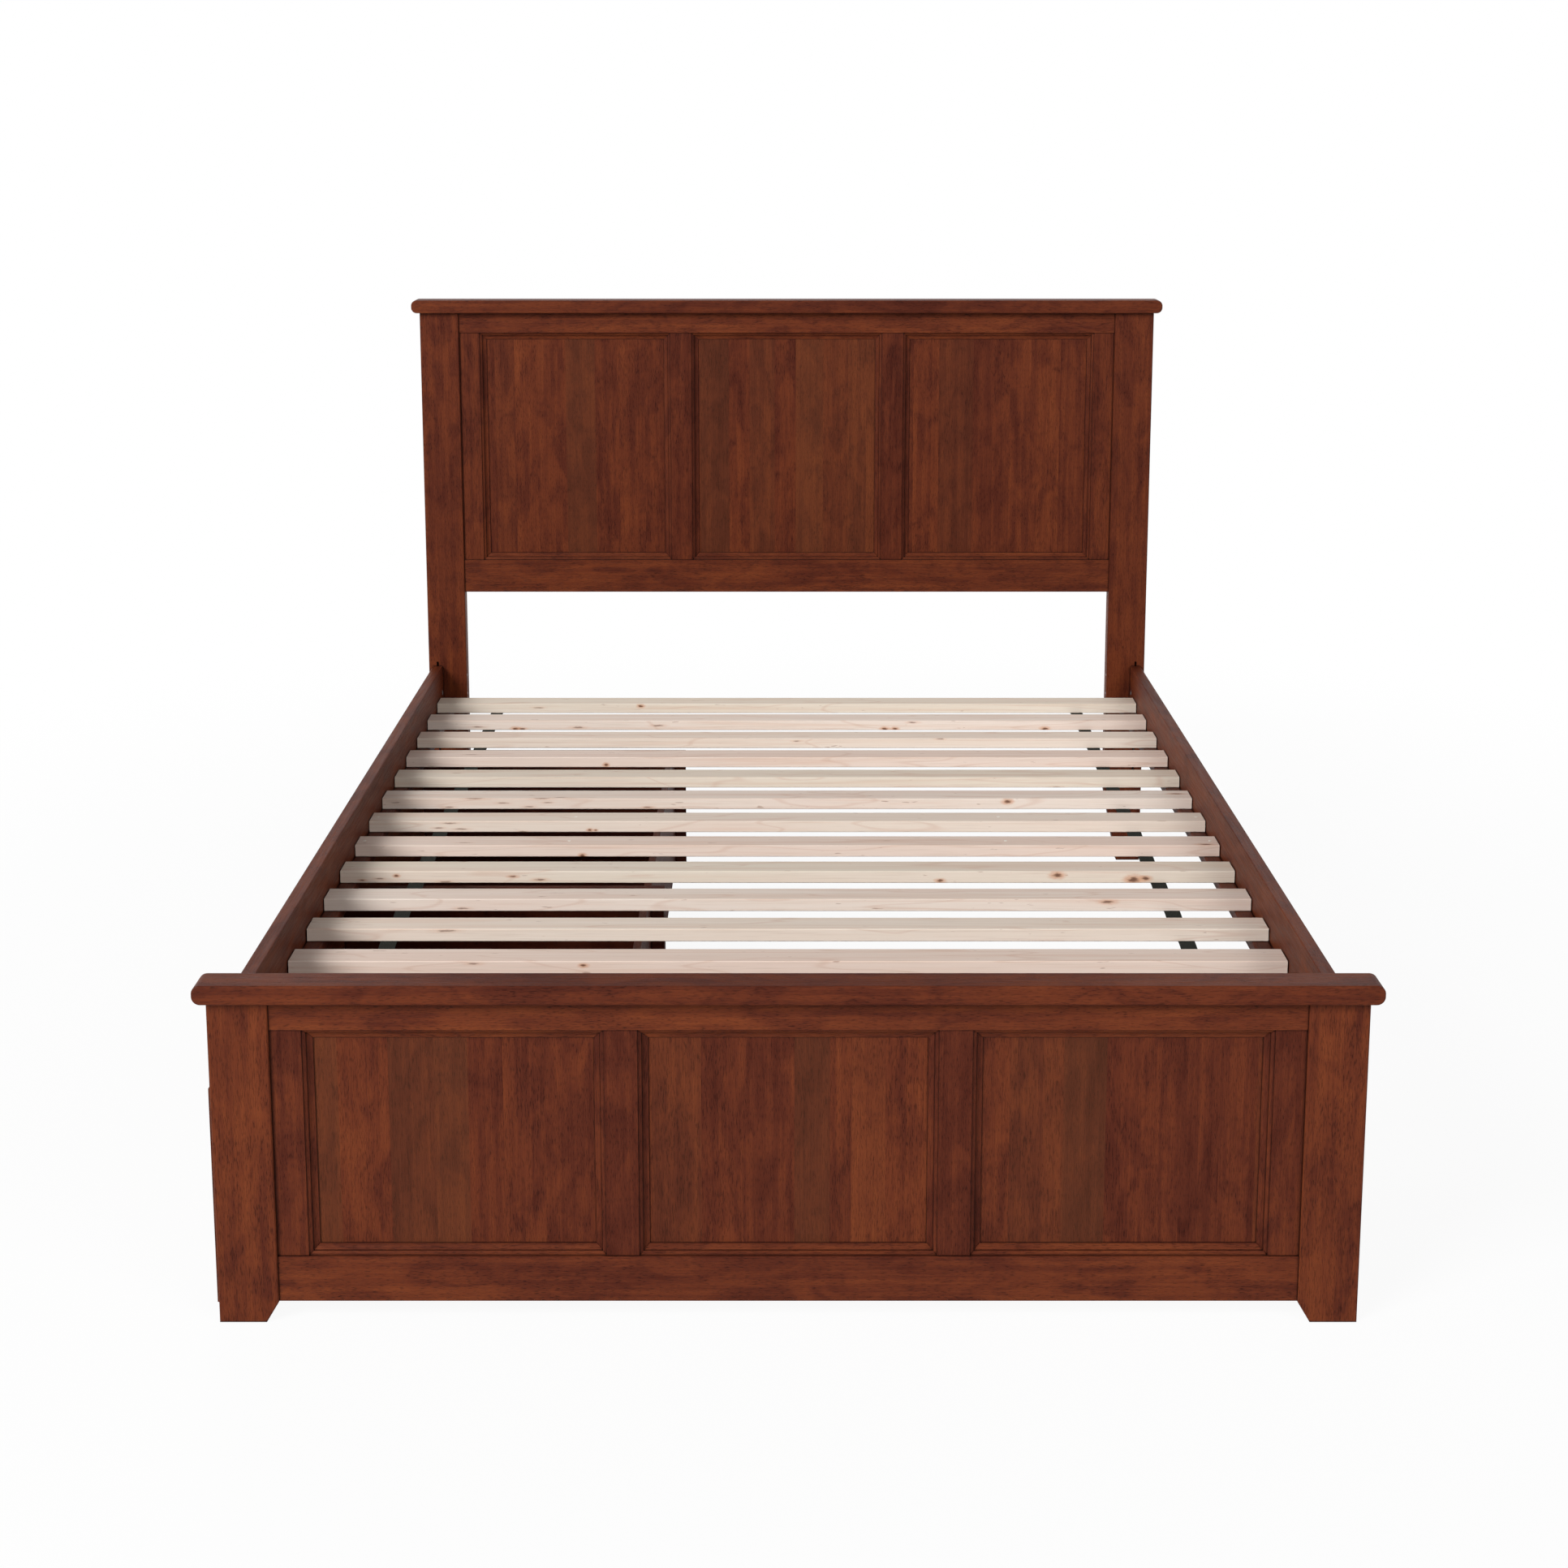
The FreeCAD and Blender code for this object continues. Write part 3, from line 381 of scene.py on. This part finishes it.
# %% [markdown]
# ## Staves
# The wide panels aren't single boards. They are narrow staves glued edge to edge, each from another
# plank, so that the colour changes in steps across the panel. A one-dimensional Voronoi texture cuts
# the width into staves of uneven width and gives each its own random colour, which is used to move
# the stave to another place in the tree and to make it lighter or darker.

# %% Stave group
STAVES_PER_METRE = 18
STAVE_STEP = (9, 5, 7)

staves, given, result = new_group(
    "staves", {"Vector": "Vector", "Spread": "Float"},
    {"Vector": "Vector", "Tone": "Float", "Olive": "Float"})
across = add(staves, "SeparateXYZ", {0: given["Vector"]}).outputs["Z"]
across = maths(staves, "MULTIPLY", across, STAVES_PER_METRE)
cells = add(staves, "TexVoronoi", {"W": across, "Scale": 1.0}, voronoi_dimensions="1D")
moved = add(staves, "VectorMath", {0: cells.outputs["Color"], 1: STAVE_STEP, 2: given["Vector"]},
            operation="MULTIPLY_ADD")
feed(staves, result["Vector"], moved.outputs[0])
luck = add(staves, "SeparateColor", {0: cells.outputs["Color"]}).outputs
tone = maths(staves, "MULTIPLY", maths(staves, "SUBTRACT", luck["Red"], 0.5), given["Spread"])
feed(staves, result["Tone"], tone)
feed(staves, result["Olive"], limit(staves, luck["Green"], 0.5, 0.95, 0, 0.3))
print("stave group ready")

# %% [markdown]
# ## One material for each board
# A Mapping node turns the pattern so that its grain runs along the board, and moves it by the number
# of the board, so that no two boards continue each other. The rest of the material is the same: the
# group's colour, roughness and height go into one Principled shader with a weak satin gloss, and a
# Bevel node rounds the edges of the board in the shading. A few kinds of board are lighter or darker
# than the others, as in the picture. The boards of the drawer boxes are darker as painted shade of the
# insides of the drawers. The side rails are lighter as painted light on their inner faces, and the top
# rails are lighter as painted light against the shadow under the caps.

# %% Stained boards
GRAIN_TURN = {"x": (0, 0, 0), "y": (0, 0, -math.pi / 2), "z": (0, math.pi / 2, 0)}
BOARD_STEP = Vector((3.7, 1.9, 2.3))
PORE_DEPTH = 0.0004
PORE_STRENGTH = 0.5
EDGE_ROUND = 0.001
SATIN_SPECULAR = 0.08
STAIN_OLIVE = colour(88, 54, 32)


def grain_space(tree, axis, number):
    """Object coordinates turned so that X runs along the grain of one board."""
    values = {"Vector": object_space(tree), "Rotation": GRAIN_TURN[axis], "Location": BOARD_STEP * number}
    return add(tree, "Mapping", values).outputs["Vector"]


def stained_board(name, axis, number, tone, spread=0.0):
    """Dresses a board, in staves where they spread in tone."""
    material, tree, shader = new_material(f"stain_{name}")
    vector = grain_space(tree, axis, number)
    olive = 0.0
    if spread:
        stave = place_group(tree, staves, {"Vector": vector, "Spread": spread})
        vector = stave["Vector"]
        tone = maths(tree, "ADD", stave["Tone"], tone)
        olive = stave["Olive"]
    wood = place_group(tree, stained, {"Vector": vector, "Tone": tone})
    tree.links.new(mix(tree, olive, wood["Color"], STAIN_OLIVE), shader.inputs["Base Color"])
    tree.links.new(wood["Roughness"], shader.inputs["Roughness"])
    shader.inputs["Specular IOR Level"].default_value = SATIN_SPECULAR
    rounded = add(tree, "Bevel", {"Radius": EDGE_ROUND}, samples=4).outputs["Normal"]
    roughen(tree, shader, wood["Height"], PORE_DEPTH, PORE_STRENGTH, rounded)
    dress(name, material)


LONG_AXIS = {"cap": "x", "top_rail": "x", "bottom_rail": "x", "side_rail": "y", "ledge": "y",
             "front": "y", "back": "y", "bottom": "y", "near_side": "x", "far_side": "x"}
# The drawer boxes (near_side, far_side, back, bottom) are darker as painted shade of the drawers' insides,
# and side_rail and top_rail are lighter as painted light
BOARD_TONE_AND_PAINTED_LIGHT = {"leg": 0.08, "cap": 0.02, "stile": -0.04, "mullion": -0.08, "ledge": -0.08,
              "side_rail": 0.06, "near_side": -0.2, "far_side": -0.2, "back": -0.2, "bottom": -0.25,
              "panel": 0.0, "top_rail": 0.11, "bottom_rail": 0.06}
OTHER_TONE = 0.04
STAVE_SPREAD = {"panel": 0.22, "drawer_front": 0.14}


def by_ending(table, name, otherwise):
    """The value whose key is the end of a name."""
    found = [value for ending, value in table.items() if name.endswith(ending)]
    return found[-1] if found else otherwise


stained_slots = ("frame_wood", "panel_wood", "drawer_wood")
slot_of = {row["node"]: row["material_slot"] for row in frame["record"]["subparts"]}
boards = [name for name in sorted(nodes) if slot_of[name] in stained_slots]
for number, name in enumerate(boards):
    axis = by_ending(LONG_AXIS, name, "z")
    tone = by_ending(BOARD_TONE_AND_PAINTED_LIGHT, name, OTHER_TONE)
    stained_board(name, axis, number, tone, by_ending(STAVE_SPREAD, name, 0.0))
print(len(boards), "stained boards")

# %% [markdown]
# ## Bare slats
# The slats are planed softwood with no finish: cream, with faint pink and tan lines along the grain,
# tiny dark flecks, and here and there a small knot. The lines are stretched noise again. The knots
# and the larger flecks are placed where the picture shows them, as egg-shaped spots in the wood
# itself, so that one at an edge shows on both faces. A spot that is much longer than high is a
# fleck, which is drawn out further, and is paler than a knot.

# %% Pale wood group
PALE_BLUSH = colour(231, 205, 191)
PALE_RING = colour(207, 168, 146)
PALE_HAIR = colour(202, 180, 162)
PALE_SPECK = colour(150, 108, 88)
BANDS = (1.1, 70, 70)
BLUSH = (1.6, 14, 14)
HAIRS = (9, 420, 420)
SPECKS = (26, 190, 190)
RINGS_IN_BLUSH = 11

pale, given, result = new_group(
    "pale wood", {"Vector": "Vector", "Tint": "Color"}, {"Color": "Color", "Height": "Float"})
grain = given["Vector"]
bands = noise(pale, grain, BANDS, 4, 0.6, 1.2)
blush = noise(pale, grain, BLUSH, 2, 0.5, 0.4)
hairs = noise(pale, grain, HAIRS, 2, 0.6)
rings = maths(pale, "PINGPONG", maths(pale, "MULTIPLY", blush, RINGS_IN_BLUSH), 1)
specks = limit(pale, noise(pale, grain, SPECKS, 2, 0.6), 0.7, 0.76)
lines = ramp(pale, bands, [(0.3, (1, 1, 1, 1)), (0.52, (0.97, 0.95, 0.93, 1)),
                           (0.62, (0.92, 0.84, 0.79, 1)), (0.75, (1, 0.97, 0.95, 1))])
shade = mix(pale, 1, given["Tint"], lines, "MULTIPLY")
shade = mix(pale, limit(pale, blush, 0.5, 0.75, 0, 0.4), shade, PALE_BLUSH)
shade = mix(pale, limit(pale, rings, 0.86, 1, 0, 0.3), shade, PALE_RING)
shade = mix(pale, limit(pale, hairs, 0.5, 0.75, 0, 0.3), shade, PALE_HAIR)
feed(pale, result["Color"], mix(pale, maths(pale, "MULTIPLY", specks, 0.6), shade, PALE_SPECK))
feed(pale, result["Height"], hairs)
print("pale wood group ready")

# %% Knot group
KNOT_HALO = colour(208, 150, 112)
KNOT_CORE = colour(92, 56, 40)
RAGS = (120, 420, 420)

knot, given, result = new_group(
    "knot", {"Vector": "Vector", "Centre": "Vector", "Size": "Float", "Length": "Float", "Color": "Color"},
    {"Color": "Color"})
offset = add(knot, "VectorMath", {0: given["Vector"], 1: given["Centre"]}, operation="SUBTRACT").outputs[0]
sides = add(knot, "SeparateXYZ", {0: offset}).outputs
drawn_out = maths(knot, "MULTIPLY", given["Length"], limit(knot, given["Length"], 2, 4.5, 1, 1.6))
along = maths(knot, "DIVIDE", sides["X"], drawn_out)
egg = add(knot, "CombineXYZ", {"X": along, "Y": sides["Y"], "Z": sides["Z"]}).outputs[0]
far = add(knot, "VectorMath", {0: egg}, operation="LENGTH").outputs["Value"]
far = maths(knot, "DIVIDE", far, given["Size"])
ragged = noise(knot, given["Vector"], RAGS, 2, 0.6)
far = maths(knot, "MULTIPLY_ADD", maths(knot, "SUBTRACT", ragged, 0.5), 0.9, far)
around = limit(knot, far, 0.5, 1.7, 0.75, 0)
halo_share = maths(knot, "MULTIPLY", around, limit(knot, given["Length"], 1.5, 4.5, 1, 0.3))
halo = mix(knot, halo_share, given["Color"], KNOT_HALO)
darkest = limit(knot, given["Length"], 2, 4.5, 0.85, 0.55)
core_share = limit(knot, far, 0.25, 0.8, darkest, 0)
feed(knot, result["Color"], mix(knot, core_share, halo, KNOT_CORE))
print("knot group ready")

# %% Slats
# Each mark, in mm: place across the bed, behind the front face, below the top face, half its height,
# and then how many times longer than high it is
KNOTS = {
    3: [(-314, 0, 7, 3.5, 2), (-483, 0, 4, 2.5, 4)],
    4: [(-546, 0, 3, 3, 5)],
    5: [(530, 0, 5, 4, 3), (-539, 0, 16, 2.5, 4)],
    6: [(463, 0, 7, 6, 2), (594, 0, 15, 8, 1.8), (615, 0, 13, 5, 2), (262, 0, 17, 4, 2.2),
        (-425, 0, 15, 3, 3.5), (-671, 0, 8, 3, 2), (-587, 0, 19, 2.5, 4), (-700, 0, 13, 2, 4),
        (-730, 0, 16, 2, 3), (-471, 0, 9, 2.6, 3)],
    7: [(-364, 0, 20, 5, 1.4), (744, 6, 0, 5, 3), (-575, 16, 0, 2.5, 5)],
    8: [(-363, 0, 17, 3, 2), (-352, 0, 17, 2.2, 2), (-486, 0, 20, 2.2, 4), (-620, 0, 4, 2.4, 5),
        (-600, 0, 15, 2.4, 5), (-640, 0, 13, 2.2, 4)],
    9: [(418, 0, 6, 5, 2), (742, 32, 0, 5, 3), (-592, 2, 0, 3.5, 5), (-465, 2, 0, 3.5, 4.5),
        (-430, 8, 0, 2.5, 5), (-640, 0, 17, 2.2, 4), (-540, 0, 9, 2, 5), (-490, 0, 16, 2.2, 4),
        (-264, 0, 17, 2.5, 3.5), (-455, 0, 8, 2, 4)],
    10: [(529, 0, 21, 3, 4), (-650, 30, 0, 2.4, 4)],
    11: [(-365, 0, 16, 4.5, 1.4), (-640, 20, 0, 3, 5)],
    12: [(21, 0, 6, 2, 4), (318, 0, 1, 2.2, 4)],
    13: [(-580, 0, 18, 4.5, 2.2), (-566, 0, 18, 3, 3), (-446, 0, 15, 3, 4), (-276, 0, 11, 3, 4),
         (209, 0, 18, 4.5, 2), (231, 0, 18, 4, 2), (552, 0, 18, 5, 2), (269, 0, 4, 2.5, 4),
         (-660, 0, 14, 2.5, 5)],
    14: [(-546, 0, 9, 2.2, 4.5), (-321, 0, 5, 4, 2)],
}
SLAT_TINTS = [colour(237, 223, 210), colour(236, 217, 205), colour(233, 221, 206), colour(238, 224, 213)]
SLAT_COUNT = 14
HAIR_DEPTH = 0.0002
MM = 0.001

for number in range(1, SLAT_COUNT + 1):
    name = f"slat_{number:02d}"
    low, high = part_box(name)
    material, tree, shader = new_material(f"bare_{name}")
    tint = SLAT_TINTS[number * 3 % len(SLAT_TINTS)]
    wood = place_group(tree, pale, {"Vector": grain_space(tree, "x", number), "Tint": tint})
    shade = wood["Color"]
    spot = object_space(tree)
    for across, behind, below, half, longer in KNOTS.get(number, []):
        centre = (across * MM, low.y + behind * MM, high.z - below * MM)
        values = {"Vector": spot, "Centre": centre, "Size": half * MM, "Length": longer, "Color": shade}
        shade = place_group(tree, knot, values)["Color"]
    tree.links.new(shade, shader.inputs["Base Color"])
    shader.inputs["Roughness"].default_value = 0.62
    shader.inputs["Specular IOR Level"].default_value = 0.2
    roughen(tree, shader, wood["Height"], HAIR_DEPTH, 0.4)
    dress(name, material)
print(SLAT_COUNT, "slats with", sum(len(marks) for marks in KNOTS.values()), "knots and flecks")

# %% [markdown]
# ## Webbing straps
# Two flat straps keep the slats at their distance. They are stapled under every slat, and between
# the slats they sag a little under their own weight. Each is a grid that gets its sag point by point
# and its thickness from a Solidify modifier. The weave is a pair of waves, one across the strap and
# one along it, so that the ribs stand up where both are high.

# %% Woven strap material
RIB_WIDTH = 0.0024
RIB_DEPTH = 0.0005
LINT = (300, 300, 300)

webbing, tree, shader = new_material("woven_strap")
spot = object_space(tree)
wave = {"Vector": spot, "Scale": 0.1 * math.pi / RIB_WIDTH, "Distortion": 0.3}
ribs = add(tree, "TexWave", wave, bands_direction="Y").outputs["Fac"]
warp = add(tree, "TexWave", wave, bands_direction="X").outputs["Fac"]
weave = maths(tree, "MULTIPLY", ribs, warp)
lint = noise(tree, spot, LINT, 2)
shade = ramp(tree, weave, [(0, colour(28, 30, 28)), (1, colour(58, 60, 56))])
shade = mix(tree, maths(tree, "MULTIPLY", lint, 0.2), shade, colour(58, 62, 56))
tree.links.new(shade, shader.inputs["Base Color"])
shader.inputs["Roughness"].default_value = 0.85
shader.inputs["Specular IOR Level"].default_value = 0.1
roughen(tree, shader, weave, RIB_DEPTH)
print("woven strap ready")

# %% Straps
STRAP_WIDTH = 0.026
STRAP_THICKNESS = 0.0014
STRAP_SAG = 0.004
STEPS_PER_SLAT = 16

strap_low, strap_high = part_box("slat_straps")
slat_boxes = [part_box(f"slat_{number:02d}") for number in range(1, SLAT_COUNT + 1)]
slat_pitch = slat_boxes[1][0].y - slat_boxes[0][0].y
slat_width = slat_boxes[0][1].y - slat_boxes[0][0].y
strap_length = strap_high.y - strap_low.y
strap_middles = {"left": strap_low.x + STRAP_WIDTH / 2, "right": strap_high.x - STRAP_WIDTH / 2}


def strap_sag(y):
    """How far the strap hangs below the slats: nothing under a slat, most in the middle of a gap."""
    along = (y - strap_low.y) % slat_pitch - slat_width
    gap = slat_pitch - slat_width
    return STRAP_SAG * math.sin(math.pi * along / gap) ** 2 if along > 0 else 0


for side, middle in strap_middles.items():
    band = bmesh.new()
    bmesh.ops.create_grid(band, x_segments=4, y_segments=STEPS_PER_SLAT * SLAT_COUNT, size=0.5)
    bmesh.ops.scale(band, vec=(STRAP_WIDTH, strap_length, 1), verts=band.verts)
    centre = (middle, (strap_low.y + strap_high.y) / 2, strap_high.z)
    bmesh.ops.translate(band, vec=centre, verts=band.verts)
    for point in band.verts:
        point.co.z -= strap_sag(point.co.y)
    strap = add_piece(f"slat_strap_{side}", band)
    wall = strap.modifiers.new("thickness", "SOLIDIFY")
    wall.thickness = STRAP_THICKNESS
    wall.offset = -1
    dress(strap.name, webbing)
    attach(strap, "bed_frame")
    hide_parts("slat_straps")
print(f"two straps of {strap_length:.2f} m")

# %% [markdown]
# ## Steel and plastic
# The hooks and pins that hang the side rails are zinc-plated steel, which has a faint frosted mottle.
# The caster housings and the wheels are black nylon, and the treads are scuffed grey where they roll.

# %% Plated steel
FROST = (140, 140, 140)

steel, tree, shader = new_material("plated_steel")
spot = object_space(tree)
frost = noise(tree, spot, FROST, 4, 0.65)
shade = ramp(tree, frost, [(0.3, colour(150, 152, 156)), (0.7, colour(196, 198, 200))])
tree.links.new(shade, shader.inputs["Base Color"])
tree.links.new(limit(tree, frost, 0.3, 0.7, 0.28, 0.5), shader.inputs["Roughness"])
shader.inputs["Metallic"].default_value = 1
roughen(tree, shader, frost, 0.0001, 0.4)
dress("rail_hook_hardware", steel)
print("plated steel ready")

# %% Nylon casters
SCUFFS = (90, 90, 90)


def nylon(name, dark, light, grains):
    """Moulded nylon with so many grains in a metre."""
    material, tree, shader = new_material(name)
    spot = object_space(tree)
    scuff = noise(tree, spot, SCUFFS, 5, 0.7)
    texture = noise(tree, spot, (grains, grains, grains), 2)
    tree.links.new(ramp(tree, scuff, [(0.35, dark), (0.75, light)]), shader.inputs["Base Color"])
    tree.links.new(limit(tree, scuff, 0.3, 0.7, 0.42, 0.62), shader.inputs["Roughness"])
    roughen(tree, shader, texture, 0.0002, 0.3)
    return material


housing_nylon = nylon("black_nylon", colour(20, 20, 21), colour(38, 38, 39), 900)
wheel_nylon = nylon("scuffed_nylon", colour(30, 30, 31), colour(74, 72, 70), 600)
for name in sorted(nodes):
    if name.endswith("caster_housings"):
        dress(name, housing_nylon)
    if name.endswith("wheels"):
        dress(name, wheel_nylon)
print("casters dressed")

# %% [markdown]
# ## Small fasteners
# The CAD model leaves the smallest fasteners out. Wire staples hold the straps to each slat, screws
# hold the ledges to the side rails, and four screws hold every caster plate. The steel dowels of the
# rail hooks end in the inner faces of the rails. Pale pegs sit in the two middle slats, the outer ones
# over the ledges. A staple shows only its crown, a little bevelled bar. A screw shows only its head, a
# low cone with a socket pressed into it, and a dowel or peg is a flat disc with an eased rim.

# %% Fastener shapes
STAPLE_SIZE = (0.0011, 0.01, 0.0008)
STAPLE_BEVEL = 0.0003
HEAD_RADIUS = 0.004
HEAD_HEIGHT = 0.0012
PEG_HEIGHT = 0.0004
ROUND_SEGMENTS = 20


def staple_crown(shape, centre):
    """The bar of a staple, with bevelled edges."""
    bar = bmesh.ops.create_cube(shape, size=1, matrix=Matrix.LocRotScale(centre, None, STAPLE_SIZE))
    edges = dict.fromkeys(edge for corner in bar["verts"] for edge in corner.link_edges)
    bmesh.ops.bevel(shape, geom=list(edges), offset=STAPLE_BEVEL, segments=2, profile=0.5,
                    affect="EDGES", material=-1)


def low_cone(shape, seat, outward, radius, taper, height):
    """A low cone that stands on a face, narrower at its top by the taper."""
    outward = Vector(outward)
    middle = Vector(seat) + outward * height / 2
    turn = outward.to_track_quat("Z", "Y")
    return bmesh.ops.create_cone(
        shape, cap_ends=True, segments=ROUND_SEGMENTS, radius1=radius, radius2=taper * radius,
        depth=height, matrix=Matrix.LocRotScale(middle, turn, None))


def screw_head(shape, seat, outward, radius=HEAD_RADIUS):
    """A screw head that sits on a face, with its socket turned outward."""
    made = low_cone(shape, seat, outward, radius, 0.75, HEAD_HEIGHT)
    caps = {face for corner in made["verts"] for face in corner.link_faces if len(face.verts) > 4}
    shape.normal_update()
    top = max(caps, key=lambda face: face.normal.dot(Vector(outward)))
    bmesh.ops.inset_individual(shape, faces=[top], thickness=0.35 * radius, depth=-0.5 * HEAD_HEIGHT)


def peg_end(shape, seat, outward, radius):
    """The end of a round peg, a little proud of a face."""
    low_cone(shape, seat, outward, radius, 0.9, PEG_HEIGHT)


def add_fasteners(name, shape, body, material=steel):
    piece = add_piece(name, shape)
    dress(name, material)
    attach(piece, body)
    print(name, len(piece.data.polygons), "faces")


# %% Staples
STAPLE_ASIDE = 0.007
staple_height = strap_high.z - STRAP_THICKNESS - STAPLE_SIZE[2] / 2

crowns = bmesh.new()
for low, high in slat_boxes:
    for middle in strap_middles.values():
        for aside in (-STAPLE_ASIDE, STAPLE_ASIDE):
            staple_crown(crowns, Vector((middle + aside, (low.y + high.y) / 2, staple_height)))
add_fasteners("strap_staples", crowns, "bed_frame")

# %% Pegs and dowel ends
PEG_PLACE = 0.39
PEG_RADIUS = 0.003
DOWEL_INSET = 0.012
DOWEL_HEIGHT = 0.393
DOWEL_RADIUS = 0.0045
END_GRAIN = (900, 900, 900)

peg_wood, tree, shader = new_material("end_grain")
spot = object_space(tree)
rings = noise(tree, spot, END_GRAIN, 2)
shade = ramp(tree, rings, [(0.3, colour(236, 226, 214)), (0.7, colour(248, 240, 230))])
tree.links.new(shade, shader.inputs["Base Color"])
shader.inputs["Roughness"].default_value = 0.7
roughen(tree, shader, rings, 0.0001, 0.3)
ledge_low, ledge_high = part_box("right_slat_ledge")
over_ledge = (ledge_low.x + ledge_high.x) / 2
middle_slats = slat_boxes[SLAT_COUNT // 2 - 1:SLAT_COUNT // 2 + 1]
pegs = bmesh.new()
for low, high in middle_slats:
    for across in (-over_ledge, -PEG_PLACE, PEG_PLACE, over_ledge):
        peg_end(pegs, (across, (low.y + high.y) / 2, high.z), (0, 0, 1), PEG_RADIUS)
add_fasteners("slat_pegs", pegs, "bed_frame", peg_wood)

dowels = bmesh.new()
for name, face, outward in (("left_side_rail", 1, 1), ("right_side_rail", 0, -1)):
    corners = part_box(name)
    for y in (corners[0].y + DOWEL_INSET, corners[1].y - DOWEL_INSET):
        peg_end(dowels, (corners[face].x, y, DOWEL_HEIGHT), (outward, 0, 0), DOWEL_RADIUS)
add_fasteners("hook_dowel_ends", dowels, "bed_frame")

# %% Ledge screws
SCREW_PAST_SLAT = 0.03

ledge_screws = bmesh.new()
for name, face, outward in (("left_slat_ledge", 1, 1), ("right_slat_ledge", 0, -1)):
    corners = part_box(name)
    height = (corners[0].z + corners[1].z) / 2
    for low, high in slat_boxes[::2]:
        seat = (corners[face].x, high.y + SCREW_PAST_SLAT, height)
        screw_head(ledge_screws, seat, (outward, 0, 0))
add_fasteners("ledge_screws", ledge_screws, "bed_frame")

# %% Caster screws
WHEEL_WIDTH = 0.016
PLATE_THICKNESS = 0.0025
HOLE_FORWARD = 0.018
HOLE_ASIDE = 0.0155
CASTER_SCREW_RADIUS = 0.0034
plate_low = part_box("foot_drawer_caster_housings")[1].z - PLATE_THICKNESS

for drawer in ("foot_drawer", "head_drawer"):
    caster_screws = bmesh.new()
    for pair in ("front", "rear"):
        low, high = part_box(f"{drawer}_{pair}_wheels")
        axle = (low.x + high.x) / 2
        for y in (low.y + WHEEL_WIDTH / 2, high.y - WHEEL_WIDTH / 2):
            for forward in (-HOLE_FORWARD, HOLE_FORWARD):
                for aside in (-HOLE_ASIDE, HOLE_ASIDE):
                    seat = (axle + forward, y + aside, plate_low)
                    screw_head(caster_screws, seat, (0, 0, -1), CASTER_SCREW_RADIUS)
    add_fasteners(f"{drawer}_caster_screws", caster_screws, drawer)

# %% Sizes
low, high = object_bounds()
